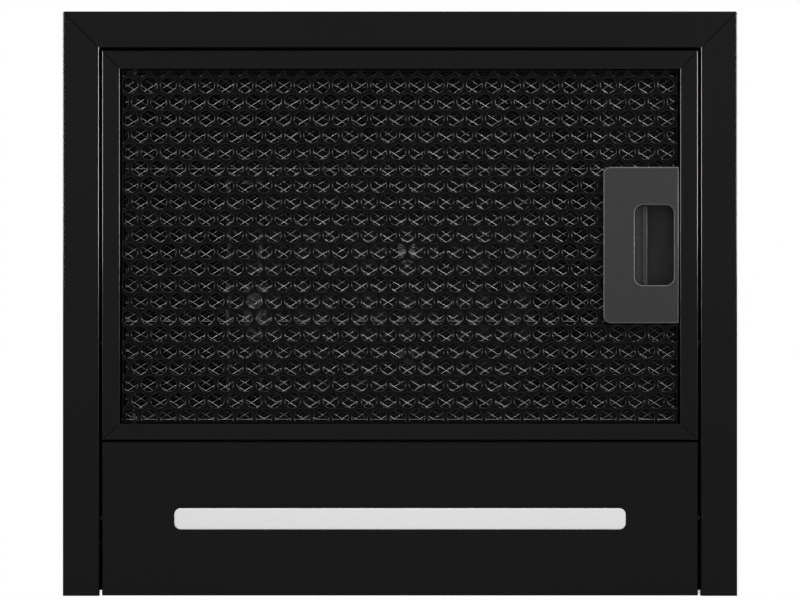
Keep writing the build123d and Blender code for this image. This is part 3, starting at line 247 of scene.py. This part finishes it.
def grained(name, colour, roughness, metallic=0.0, specular=0.5, spread=0.12, fine=1800.0, depth=0.02,
            strength=0.3, slow=9.0):
    """A finish with fine grain, whose tone and gloss vary slowly over the piece."""
    material, tree, shader, place = shader_base(name, metallic, specular)
    node = tree.nodes.new("ShaderNodeGroup")
    node.node_tree = bpy.data.node_groups["surface_grain"]
    node.inputs["Fine Scale"].default_value = fine
    node.inputs["Slow Scale"].default_value = slow
    tree.links.new(place, node.inputs["Vector"])
    tone = ramp(tree, node.outputs["Mask"], scaled(colour, 1 - spread), scaled(colour, 1 + spread))
    tree.links.new(tone, shader.inputs["Base Color"])
    gloss = span(tree, node.outputs["Mask"], roughness * (1 - spread / 2), roughness * (1 + spread / 2))
    tree.links.new(gloss, shader.inputs["Roughness"])
    bump(tree, shader, node.outputs["Height"], strength, depth * MM)
    return material


def add_painted_sheen(material, colour, roughness, metal=True):
    """Paints a sheen on the faces that the mesh's painted-sheen attribute marks with 1. There the finish
    takes a given colour, a smoother roughness and, for metal, full metallic, standing in for brighter
    highlights.
    """
    tree = material.node_tree
    shader = tree.nodes["Principled BSDF"]
    coat = shader.inputs["Base Color"].links[0].from_socket
    gloss = shader.inputs["Roughness"].links[0].from_socket
    painted_sheen = tree.nodes.new("ShaderNodeAttribute")
    painted_sheen.attribute_name = "painted_sheen"
    mix = tree.nodes.new("ShaderNodeMix")
    mix.data_type = "RGBA"
    mix.inputs["B"].default_value = (*colour, 1)
    tree.links.new(painted_sheen.outputs["Fac"], mix.inputs["Factor"])
    tree.links.new(coat, mix.inputs["A"])
    tree.links.new(mix.outputs["Result"], shader.inputs["Base Color"])
    blend = tree.nodes.new("ShaderNodeMix")
    blend.inputs["B"].default_value = roughness
    tree.links.new(painted_sheen.outputs["Fac"], blend.inputs["Factor"])
    tree.links.new(gloss, blend.inputs["A"])
    tree.links.new(blend.outputs["Result"], shader.inputs["Roughness"])
    if metal:
        tree.links.new(painted_sheen.outputs["Fac"], shader.inputs["Metallic"])
    return material


def galvanised(name):
    """Zinc coated sheet with its crystals."""
    material, tree, shader, place = shader_base(name, 0.9, 0.5)
    node = tree.nodes.new("ShaderNodeGroup")
    node.node_tree = bpy.data.node_groups["zinc_spangle"]
    tree.links.new(place, node.inputs["Vector"])
    tone = ramp(tree, node.outputs["Tone"], (0.42, 0.43, 0.45), (0.6, 0.61, 0.62))
    tree.links.new(tone, shader.inputs["Base Color"])
    tree.links.new(span(tree, node.outputs["Tone"], 0.34, 0.5), shader.inputs["Roughness"])
    bump(tree, shader, node.outputs["Height"], 0.15, 0.05 * MM)
    return material


def opal(name, colour):
    """Milky plastic that light passes into."""
    material = grained(name, colour, 0.32, spread=0.02, fine=900.0, depth=0.01, strength=0.1, slow=14.0)
    shader = material.node_tree.nodes["Principled BSDF"]
    shader.inputs["Subsurface Weight"].default_value = 0.25
    shader.inputs["Subsurface Radius"].default_value = (1.0, 1.0, 1.0)
    shader.inputs["Subsurface Scale"].default_value = 1.5 * MM
    return material


def make_materials(colours):
    """One material for each slot of the record, by the slot's name."""
    return {
        "black_powder_coat": grained("black_powder_coat", colours.coat, 0.18, specular=0.125, spread=0.1,
                                     fine=2200.0, depth=0.03, strength=0.25),
        "galvanised_sheet": galvanised("galvanised_sheet"),
        "screw_steel": grained("screw_steel", (0.05, 0.05, 0.052), 0.45, metallic=0.8, fine=3500.0,
                               depth=0.01),
        "black_screw": grained("black_screw", (0.02, 0.02, 0.02), 0.35, metallic=0.6, fine=3500.0,
                               depth=0.01),
        "opal_plastic": opal("opal_plastic", colours.opal),
        "white_plastic": grained("white_plastic", (0.72, 0.72, 0.7), 0.5, spread=0.04),
        "circuit_board": grained("circuit_board", (0.02, 0.11, 0.05), 0.35, spread=0.2, fine=600.0),
        "led_chip": grained("led_chip", (0.85, 0.72, 0.3), 0.3, spread=0.1),
        # The filter sheet's rolled hole edges get a painted sheen of brighter metal.
        "filter_sheet": add_painted_sheen(grained("filter_sheet", colours.filter_paint, 0.22, specular=0.07, spread=0.15,
                                     fine=1600.0, slow=30.0), colours.painted_sheen, 0.16),
        # The nets' facets that face the lamps get a painted highlight of bright metal.
        "filter_mesh": add_painted_sheen(grained("filter_mesh", colours.filter_paint, 0.45, specular=0.08, spread=0.15,
                                    fine=1500.0, slow=60.0), colours.net, 0.4),
        "rivet_aluminium": grained("rivet_aluminium", (0.6, 0.6, 0.6), 0.35, metallic=1.0),
        # Painted highlight: the latch's rounded edges take a colour 4.2 times lighter than the plastic, with
        # a smoother roughness.
        "latch_plastic": add_painted_sheen(grained("latch_plastic", colours.latch, 0.62, specular=0.32, spread=0.12,
                                      fine=1300.0, depth=0.3, strength=0.8, slow=160.0),
                              scaled(colours.latch, 4.2), 0.3, metal=False),
        "spring_steel": grained("spring_steel", (0.5, 0.5, 0.5), 0.25, metallic=1.0, fine=4000.0, depth=0.01),
        "scroll_plastic": grained("scroll_plastic", (0.035, 0.035, 0.038), 0.5, fine=1200.0, depth=0.05),
        "impeller_plastic": grained("impeller_plastic", (0.16, 0.17, 0.18), 0.45, fine=1200.0, depth=0.04),
        "motor_metal": grained("motor_metal", (0.4, 0.41, 0.42), 0.4, metallic=0.9, fine=900.0, depth=0.05),
        "grommet_rubber": grained("grommet_rubber", (0.02, 0.02, 0.02), 0.8, fine=900.0, depth=0.05),
        "collar_plastic": grained("collar_plastic", (0.04, 0.04, 0.043), 0.5, fine=1300.0, depth=0.05),
        "box_plastic": grained("box_plastic", (0.3, 0.31, 0.32), 0.5, fine=1300.0, depth=0.05),
        "capacitor_can": grained("capacitor_can", (0.6, 0.6, 0.58), 0.35),
        "bezel_plastic": grained("bezel_plastic", (0.008, 0.008, 0.0085), 0.3, fine=2500.0, depth=0.01),
        "button_metal": grained("button_metal", (0.5, 0.5, 0.51), 0.28, metallic=1.0, fine=2500.0,
                                depth=0.01),
    }


def material_of(slot):
    """The material of a record slot."""
    return bpy.data.materials[slot]


# Making pieces
def add_piece(name, bm, body, slot, replaced=(), smooth_angle=40.0):
    """Turns a bmesh in metres into a piece that rides on a body and takes a slot's finish.

    With no smooth_angle, each face keeps its own smooth or flat shading.
    """
    mesh = bpy.data.meshes.new(name)
    bm.to_mesh(mesh)
    bm.free()
    piece = bpy.data.objects.new(name, mesh)
    bpy.context.scene.collection.objects.link(piece)
    mesh.materials.append(material_of(slot))
    if smooth_angle is not None:
        mesh.shade_smooth()
        mesh.set_sharp_from_angle(angle=math.radians(smooth_angle))
    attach(piece, body)
    if replaced:
        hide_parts(*replaced)
    return piece


def mark_faces(bm, name, value_of):
    """Stores a value from 0 to 1 on each face, for a finish to read."""
    layer = bm.faces.layers.float.new(name)
    bm.normal_update()
    for face in bm.faces:
        face[layer] = value_of(face)


def remove_inside(bm, x0, x1, y0, y1):
    """Cuts a rectangle out of a mesh, seen along Z, and leaves the cut open."""
    for point, normal in (((x0, 0, 0), (1, 0, 0)), ((x1, 0, 0), (1, 0, 0)),
                          ((0, y0, 0), (0, 1, 0)), ((0, y1, 0), (0, 1, 0))):
        geom = bm.verts[:] + bm.edges[:] + bm.faces[:]
        bmesh.ops.bisect_plane(bm, geom=geom, dist=1e-7, plane_co=point, plane_no=normal)
    inside = []
    for face in bm.faces:
        middle = face.calc_center_median()
        if x0 < middle.x < x1 and y0 < middle.y < y1:
            inside.append(face)
    bmesh.ops.delete(bm, geom=inside, context="FACES")


def trim_outside(bm, x0, x1, y0, y1):
    """Keeps only what lies inside a rectangle, seen along Z."""
    for point, normal in (((x0, 0, 0), (-1, 0, 0)), ((x1, 0, 0), (1, 0, 0)),
                          ((0, y0, 0), (0, -1, 0)), ((0, y1, 0), (0, 1, 0))):
        geom = bm.verts[:] + bm.edges[:] + bm.faces[:]
        bmesh.ops.bisect_plane(bm, geom=geom, dist=1e-7, plane_co=point, plane_no=normal, clear_outer=True)


def cap_cuts(bm):
    """Fills each open edge loop."""
    edges = [edge for edge in bm.edges if edge.is_boundary]
    bmesh.ops.holes_fill(bm, edges=edges, sides=0)
    bmesh.ops.recalc_face_normals(bm, faces=bm.faces)


def box_mesh(bm, x0, x1, y0, y1, z0, z1):
    """Adds a box between two corners and returns its vertices."""
    middle = Matrix.Translation(((x0 + x1) / 2, (y0 + y1) / 2, (z0 + z1) / 2))
    scale = Matrix.Diagonal((x1 - x0, y1 - y0, z1 - z0, 1))
    return bmesh.ops.create_cube(bm, size=1.0, matrix=middle @ scale)["verts"]


def rounded_copy(node, radius, axis, sharp=30.0, segments=4):
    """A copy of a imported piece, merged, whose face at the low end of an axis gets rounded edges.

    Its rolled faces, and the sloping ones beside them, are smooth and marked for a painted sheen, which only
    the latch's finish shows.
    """
    bm = bmesh.new()
    bm.from_mesh(frame["nodes"][node].data)
    layer = bm.faces.layers.float.new("painted_sheen")
    bmesh.ops.remove_doubles(bm, verts=bm.verts, dist=1e-6)
    bmesh.ops.dissolve_limit(bm, angle_limit=math.radians(0.5), verts=bm.verts, edges=bm.edges)
    level = min(vert.co[axis] for vert in bm.verts) + MM / 50
    edges = []
    for edge in bm.edges:
        on_face = all(vert.co[axis] < level for vert in edge.verts)
        if on_face and edge.is_manifold and edge.calc_face_angle() > math.radians(sharp):
            edges.append(edge)
    made = bmesh.ops.bevel(bm, geom=edges, offset=radius, offset_type="OFFSET", segments=segments,
                           profile=0.5, affect="EDGES", clamp_overlap=False, material=-1)
    rolled = set(made["faces"])
    bm.normal_update()
    least, most = 0.05, 0.97  # a sloping face's normal, along the axis
    for face in bm.faces:
        if face.calc_center_median()[axis] < level + MM and least < abs(face.normal[axis]) < most:
            rolled.add(face)
    for face in bm.faces:
        face.smooth = face in rolled
        face[layer] = 1.0 if face in rolled else 0.0
    return bm


def latch_cut():
    """The filter's cut-out round the latch box: low X, high X, low Y and high Y."""
    low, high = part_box("latch_cover")
    gap = 0.3 * MM
    return low.x - gap, high.x + 2 * MM, low.y - gap, high.y + gap


# The perforated face of the grease filter
def hole_tile(sizes, z0):
    """One hexagon of sheet round a hole, with a rolled lower edge."""
    bm = bmesh.new()
    segments, sides = 18, 6
    half = sizes.hole_pitch / 2
    radius = sizes.hole_radius
    ring = bmesh.ops.create_circle(bm, segments=segments, radius=radius + sizes.hole_roll,
                                   matrix=Matrix.Translation((0, 0, z0)))
    low_edges = list({edge for vert in ring["verts"] for edge in vert.link_edges})

    def grow(edges, place):
        """Extrudes a ring of edges and moves each new vertex to a place worked out from its own."""
        made = bmesh.ops.extrude_edge_only(bm, edges=edges)["geom"]
        for vert in (v for v in made if isinstance(v, bmesh.types.BMVert)):
            vert.co = place(vert.co)
        return [e for e in made if isinstance(e, bmesh.types.BMEdge) and e.is_boundary]

    def hexagon(z):
        """Moves a point outwards to the hexagon's edge."""
        def place(co):
            angle = math.atan2(co.y, co.x)
            off = (angle + math.pi / sides) % (2 * math.pi / sides) - math.pi / sides
            reach = half / math.cos(off)
            return Vector((reach * math.cos(angle), reach * math.sin(angle), z))
        return place

    def circle(r, z):
        """Moves a point to a radius and a height."""
        def place(co):
            flat = Vector((co.x, co.y, 0)).normalized() * r
            return Vector((flat.x, flat.y, z))
        return place

    roll = sizes.hole_roll
    grow(low_edges, hexagon(z0))
    inner = grow(low_edges, circle(radius + roll * 0.3, z0 + roll * 0.28))
    inner = grow(inner, circle(radius, z0 + roll))
    inner = grow(inner, circle(radius, z0 + sizes.sheet))
    grow(inner, hexagon(z0 + sizes.sheet))
    return bm


def is_rolled(face, z0, z1):
    """Whether a face belongs to the rolled lower edge of a hole."""
    heights = [vert.co.z for vert in face.verts]
    return max(heights) < z1 + MM / 100 and max(heights) - min(heights) > MM / 100


def copies(bm, step, count):
    """Adds copies of everything in a mesh, each one step further on."""
    source = bm.verts[:] + bm.edges[:] + bm.faces[:]
    for index in range(1, count):
        made = bmesh.ops.duplicate(bm, geom=source)["geom"]
        verts = [v for v in made if isinstance(v, bmesh.types.BMVert)]
        bmesh.ops.translate(bm, verts=verts, vec=Vector(step) * index)


def perforated_sheet(sizes, x0, x1, y0, y1, z0):
    """A field of holes, cut to a rectangle."""
    pitch = sizes.hole_pitch
    row = pitch * math.sqrt(3) / 2
    columns = math.ceil((x1 - x0) / pitch) + 2
    pairs = math.ceil((y1 - y0) / (2 * row)) + 2
    bm = hole_tile(sizes, z0)
    copies(bm, (pitch / 2, row, 0), 2)
    copies(bm, (pitch, 0, 0), columns)
    copies(bm, (0, 2 * row, 0), pairs)
    start_x = sizes.hole_x - pitch * (math.ceil((sizes.hole_x - x0) / pitch) + 1)
    start_y = sizes.hole_y - 2 * row * math.ceil((sizes.hole_y - y0) / (2 * row))
    bmesh.ops.translate(bm, verts=bm.verts, vec=(start_x, start_y, 0))
    bmesh.ops.remove_doubles(bm, verts=bm.verts, dist=1e-6)
    trim_outside(bm, x0, x1, y0, y1)
    return bm


def tray_walls(bm, low, high, sheet, z0):
    """Adds the tray's upright walls, from just behind the face."""
    x0, x1, y0, y1 = low.x, high.x, low.y, high.y
    box_mesh(bm, x0, x0 + sheet, y0, y1, z0, high.z)
    box_mesh(bm, x1 - sheet, x1, y0, y1, z0, high.z)
    box_mesh(bm, x0 + sheet, x1 - sheet, y0, y0 + sheet, z0, high.z)
    box_mesh(bm, x0 + sheet, x1 - sheet, y1 - sheet, y1, z0, high.z)


class HOOD_OT_filter_face(bpy.types.Operator):
    """Perforated face of the grease filter, with rolled hole edges"""
    bl_idname = "hood.filter_face"
    bl_label = "Filter face"

    def execute(self, context):
        sizes = context.scene.hood_filter
        low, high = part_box("filter_face")
        last_row = high.y - sizes.fold_band
        bm = perforated_sheet(sizes, low.x, high.x, low.y, last_row, low.z)
        remove_inside(bm, *latch_cut())
        cap_cuts(bm)
        roll_top = low.z + sizes.hole_roll
        # Painted sheen: the rolled hole edges are marked for the brighter metal.
        mark_faces(bm, "painted_sheen", lambda face: sizes.rim_sheen if is_rolled(face, low.z, roll_top) else 0.0)
        box_mesh(bm, low.x, high.x, last_row, high.y, low.z, low.z + sizes.sheet)
        tray_walls(bm, low, high, sizes.sheet, low.z + sizes.sheet)
        remove_inside(bm, *latch_cut())
        cap_cuts(bm)
        add_piece("perforated_face", bm, "filter", "filter_sheet", ["filter_face"], smooth_angle=60.0)
        return {"FINISHED"}


# The nets behind the face
def net_mesh(sizes, low, high, shift, shine):
    """One layer of expanded metal, cut to the tray, with a ridge along each strand.

    Shine, from 0 to 1, is how strong the painted highlight is on the facets that face one way.
    """
    z = (low.z + high.z) / 2
    long_step, short_step = sizes.net_long, sizes.net_short
    count = math.ceil((high.x - low.x) / long_step + (high.y - low.y) / short_step) + 2
    bm = bmesh.new()
    bmesh.ops.create_grid(bm, x_segments=count, y_segments=count, size=count / 2)
    shear = Matrix(((long_step / 2, long_step / 2, 0, 0), (short_step / 2, -short_step / 2, 0, 0),
                    (0, 0, 1, 0), (0, 0, 0, 1)))
    middle = Vector(((low.x + high.x) / 2 + shift[0], (low.y + high.y) / 2 + shift[1], z))
    bmesh.ops.transform(bm, matrix=Matrix.Translation(middle) @ shear, verts=bm.verts)
    edge = sizes.strand
    trim_outside(bm, low.x + edge, high.x - edge, low.y + edge, high.y - edge)
    x0, x1, y0, y1 = latch_cut()
    remove_inside(bm, x0 - edge, x1, y0 - edge, y1 + edge)
    bmesh.ops.wireframe(bm, faces=bm.faces, thickness=sizes.strand, offset=0.0, use_replace=True,
                        use_boundary=True, use_even_offset=True)
    for vert in bm.verts:
        if len(vert.link_faces) > 5:
            vert.co.z = z + math.copysign(sizes.ridge, vert.co.z - z)
    bmesh.ops.recalc_face_normals(bm, faces=bm.faces)
    # Painted highlight: only facets whose normal leans both down and to the front, or up and to the back,
    # take the bright metal.
    mark_faces(bm, "painted_sheen", lambda face: shine if face.normal.z * face.normal.y > 0.1 else 0.0)
    return bm


class HOOD_OT_filter_nets(bpy.types.Operator):
    """Three layers of expanded metal behind the perforated face"""
    bl_idname = "hood.filter_nets"
    bl_label = "Filter nets"

    def execute(self, context):
        sizes = context.scene.hood_filter
        # Painted shade: the deeper layers get a weaker painted highlight (1, 0.15, 0.05), so they read darker
        # further in.
        layers = (("lower", (0.4 * MM, 0.0), 1.0), ("middle", (2.1 * MM, 1.0 * MM), 0.15),
                  ("upper", (3.6 * MM, -0.7 * MM), 0.05))
        for level, shift, shine in layers:
            node = f"filter_mesh_{level}"
            low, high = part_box(node)
            bm = net_mesh(sizes, low, high, shift, shine)
            add_piece(f"net_{level}", bm, "filter", "filter_mesh", [node], smooth_angle=20.0)
        return {"FINISHED"}


class HOOD_OT_rounded_pieces(bpy.types.Operator):
    """Latch, lens, bezel and buttons with their rounded edges"""
    bl_idname = "hood.rounded_pieces"
    bl_label = "Rounded pieces"

    def execute(self, context):
        edges = context.scene.hood_edges
        along_y, along_z = 1, 2
        radii = {"latch_housing": (edges.latch, along_z), "latch_slider": (edges.grip, along_z),
                 "light_lens": (edges.lens, along_z), "control_bezel": (edges.bezel, along_y)}
        for node in SLOT_OF:
            if node.startswith("button_"):
                radii[node] = (edges.button, along_y)
        for node, (radius, axis) in radii.items():
            bm = rounded_copy(node, radius, axis)
            add_piece("rounded_" + node, bm, BODY_OF[node], SLOT_OF[node], [node], smooth_angle=None)
        return {"FINISHED"}


def coil_mesh(bm, x0, x1, y, z, radius, wire, turns=9, steps_per_turn=20):
    """Adds a spring wound along X between two ends, from wire of a thickness."""
    steps = turns * steps_per_turn
    start = Matrix.Translation((x0 + wire / 2, y + radius - wire / 2, z))
    ring = bmesh.ops.create_circle(bm, segments=8, radius=wire / 2, matrix=start)["verts"]
    edges = list({edge for vert in ring for edge in vert.link_edges})
    bmesh.ops.spin(bm, geom=ring + edges, cent=(x0, y, z), axis=(1, 0, 0), angle=math.tau * turns,
                   steps=steps, dvec=((x1 - x0 - wire) / steps, 0, 0))


class HOOD_OT_latch_coils(bpy.types.Operator):
    """Two wound springs behind the latch slider"""
    bl_idname = "hood.latch_coils"
    bl_label = "Latch coils"

    def execute(self, context):
        edges = context.scene.hood_edges
        low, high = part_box("latch_springs")
        radius = (high.z - low.z) / 2
        bm = bmesh.new()
        for y in (low.y + radius, high.y - radius):
            coil_mesh(bm, low.x, high.x, y, low.z + radius, radius, edges.spring_wire)
        cap_cuts(bm)
        coils = add_piece("latch_coils", bm, BODY_OF["latch_springs"], "spring_steel", ["latch_springs"],
                          smooth_angle=60.0)
        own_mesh(coils)
        return {"FINISHED"}


class HOOD_OT_finishes(bpy.types.Operator):
    """Shared node groups and materials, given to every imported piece"""
    bl_idname = "hood.finishes"
    bl_label = "Finishes"

    def execute(self, context):
        grain_group()
        spangle_group()
        for old in list(bpy.data.materials):
            old.name = "packed_" + old.name
        materials = make_materials(context.scene.hood_colours)
        for node, piece in frame["nodes"].items():
            material = materials[SLOT_OF[node]]
            for slot in piece.material_slots:
                slot.material = material
        return {"FINISHED"}


# Floor, lamps, background and camera
MIDDLE = (0, 0, 0.35)

# What some lamps are kept to: body and frame sheet, or the filter, its latch and the light lens
LIT_GROUPS = {
    "sheet": {"nodes": ("body_shell", "filter_frame", "light_panel")},
    "below": {"slots": ("filter_sheet", "filter_mesh", "latch_plastic", "opal_plastic")},
}

# Name, place, target, width, height, watts, spread in degrees, and the group that it lights, or None for all
LAMPS = (
    ("lamp_corner_left", (-0.42, -0.62, -0.28), (-0.1, -0.03, 0), 0.16, 0.16, 0.2, 70, "below"),
    ("lamp_corner_right", (0.42, -0.62, -0.28), (0.1, -0.03, 0), 0.16, 0.16, 0.25, 70, "below"),
    ("lamp_fill_left", (-0.66, -0.17, -0.2), (0, -0.12, 0), 0.28, 0.14, 0.3, 60, "below"),
    ("lamp_fill_right", (0.66, -0.17, -0.2), (0, -0.12, 0), 0.28, 0.14, 0.45, 60, "below"),
    ("lamp_side_left", (-0.66, -0.17, -0.2), (0, -0.12, 0), 0.28, 0.14, 1.3, 60, "sheet"),
    ("lamp_side_right", (0.66, -0.17, -0.2), (0, -0.12, 0), 0.28, 0.14, 1.8, 60, "sheet"),
    ("lamp_strip", (0, -0.7, -0.22), (0, 0, 0), 0.8, 0.1, 0.3, 100, "below"),
    ("lamp_front", (0.7, -2.3, 0.2), MIDDLE, 1.6, 1.0, 16.0, 180, None),
    ("lamp_left", (-2.3, 0.2, 0.2), MIDDLE, 1.4, 1.0, 12.0, 180, None),
    ("lamp_back", (0.8, 2.3, 0.2), MIDDLE, 1.4, 1.0, 12.0, 180, None),
    ("lamp_top", (0.4, -0.4, 2.8), MIDDLE, 1.8, 1.8, 14.0, 180, None),
)


def add_lamp(name, place, target, width, height, power, spread, lit):
    """A soft rectangular lamp that faces a target and fans out over so many degrees.

    It lights everything, or only what a collection holds.
    """
    data = bpy.data.lights.new(name, "AREA")
    data.shape = "RECTANGLE"
    data.size = width
    data.size_y = height
    data.energy = power
    data.spread = math.radians(spread)
    lamp = bpy.data.objects.new(name, data)
    bpy.context.scene.collection.objects.link(lamp)
    lamp.location = place
    lamp.rotation_euler = (Vector(target) - Vector(place)).to_track_quat("-Z", "Y").to_euler()
    lamp.visible_camera = False
    if lit is not None:
        lamp.light_linking.receiver_collection = lit
    return lamp


def lit_group(name, slots=(), nodes=()):
    """A collection of the pieces with these finishes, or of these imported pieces, for a lamp to light."""
    group = bpy.data.collections.new(name)
    for piece in bpy.context.scene.objects:
        slot = piece.material_slots[0].name if piece.material_slots else ""
        if slot in slots or piece.name in nodes:
            group.objects.link(piece)
    return group


def floor_material():
    """Pale floor that shows only from above."""
    material = bpy.data.materials.new("floor_white")
    material.use_nodes = True
    tree = material.node_tree
    shader = tree.nodes["Principled BSDF"]
    shader.inputs["Base Color"].default_value = (0.8, 0.8, 0.8, 1)
    shader.inputs["Roughness"].default_value = 0.8
    clear = tree.nodes.new("ShaderNodeBsdfTransparent")
    path = tree.nodes.new("ShaderNodeLightPath")
    side = tree.nodes.new("ShaderNodeNewGeometry")
    both = tree.nodes.new("ShaderNodeMath")
    both.operation = "MULTIPLY"
    mix = tree.nodes.new("ShaderNodeMixShader")
    tree.links.new(path.outputs["Is Camera Ray"], both.inputs[0])
    tree.links.new(side.outputs["Backfacing"], both.inputs[1])
    tree.links.new(both.outputs["Value"], mix.inputs["Fac"])
    tree.links.new(shader.outputs["BSDF"], mix.inputs[1])
    tree.links.new(clear.outputs["BSDF"], mix.inputs[2])
    tree.links.new(mix.outputs["Shader"], tree.nodes["Material Output"].inputs["Surface"])
    return material


def white_background(strength):
    """A white world to the camera and to reflections, and a soft one to everything else."""
    world = bpy.data.worlds.new("studio")
    bpy.context.scene.world = world
    world.use_nodes = True
    tree = world.node_tree
    soft = tree.nodes["Background"]
    soft.inputs["Color"].default_value = (1, 1, 1, 1)
    soft.inputs["Strength"].default_value = strength
    white = tree.nodes.new("ShaderNodeBackground")
    white.inputs["Color"].default_value = (1, 1, 1, 1)
    path = tree.nodes.new("ShaderNodeLightPath")
    either = tree.nodes.new("ShaderNodeMath")
    either.operation = "MAXIMUM"
    any_of = tree.nodes.new("ShaderNodeMath")
    any_of.operation = "MAXIMUM"
    mix = tree.nodes.new("ShaderNodeMixShader")
    tree.links.new(path.outputs["Is Camera Ray"], either.inputs[0])
    tree.links.new(path.outputs["Is Glossy Ray"], either.inputs[1])
    tree.links.new(either.outputs["Value"], any_of.inputs[0])
    tree.links.new(path.outputs["Is Transmission Ray"], any_of.inputs[1])
    tree.links.new(any_of.outputs["Value"], mix.inputs["Fac"])
    tree.links.new(soft.outputs["Background"], mix.inputs[1])
    tree.links.new(white.outputs["Background"], mix.inputs[2])
    tree.links.new(mix.outputs["Shader"], tree.nodes["World Output"].inputs["Surface"])


class HOOD_OT_stage(bpy.types.Operator):
    """Pale floor, soft lamps, white background and the camera under the hood"""
    bl_idname = "hood.stage"
    bl_label = "Stage"

    def execute(self, context):
        sizes = context.scene.hood_stage
        bm = bmesh.new()
        bmesh.ops.create_grid(bm, x_segments=1, y_segments=1, size=sizes.floor_size)
        bmesh.ops.translate(bm, verts=bm.verts, vec=(0, 0, -sizes.floor_drop))
        mesh = bpy.data.meshes.new("floor")
        bm.to_mesh(mesh)
        bm.free()
        floor = bpy.data.objects.new("floor", mesh)
        context.scene.collection.objects.link(floor)
        mesh.materials.append(floor_material())
        white_background(sizes.soft_light)
        lit = {name: lit_group(name, **members) for name, members in LIT_GROUPS.items()}
        for *lamp, group in LAMPS:
            add_lamp(*lamp, lit.get(group))
        data = bpy.data.cameras.new("camera")
        data.sensor_width = 36.0
        data.lens = sizes.lens
        data.clip_start = 0.05
        camera = bpy.data.objects.new("camera", data)
        context.scene.collection.objects.link(camera)
        camera.location = (0, sizes.camera_y, -sizes.distance)
        camera.rotation_euler = (math.pi, 0, 0)
        context.scene.camera = camera
        context.scene.view_settings.view_transform = "Standard"
        return {"FINISHED"}


class HOOD_PT_panel(bpy.types.Panel):
    """Lists the hood's steps in the sidebar."""
    bl_label = "Hood"
    bl_idname = "HOOD_PT_panel"
    bl_space_type = "VIEW_3D"
    bl_region_type = "UI"
    bl_category = "Hood"

    def draw(self, context):
        for step in STEPS:
            self.layout.operator(step.bl_idname)


GROUPS = (("hood_filter", HoodFilterSizes), ("hood_edges", HoodEdgeSizes), ("hood_colours", HoodColours),
          ("hood_stage", HoodStageSizes))
STEPS = (HOOD_OT_finishes, HOOD_OT_filter_face, HOOD_OT_filter_nets, HOOD_OT_rounded_pieces,
         HOOD_OT_latch_coils, HOOD_OT_stage)


def register():
    for name, group in GROUPS:
        bpy.utils.register_class(group)
        setattr(bpy.types.Scene, name, bpy.props.PointerProperty(type=group))
    for step in STEPS:
        bpy.utils.register_class(step)
    bpy.utils.register_class(HOOD_PT_panel)


def unregister():
    bpy.utils.unregister_class(HOOD_PT_panel)
    for step in reversed(STEPS):
        bpy.utils.unregister_class(step)
    for name, group in reversed(GROUPS):
        delattr(bpy.types.Scene, name)
        bpy.utils.unregister_class(group)


def main():
    register()
    for step in STEPS:
        group, name = step.bl_idname.split(".")
        getattr(getattr(bpy.ops, group), name)()


if __name__ == "__main__":
    main()
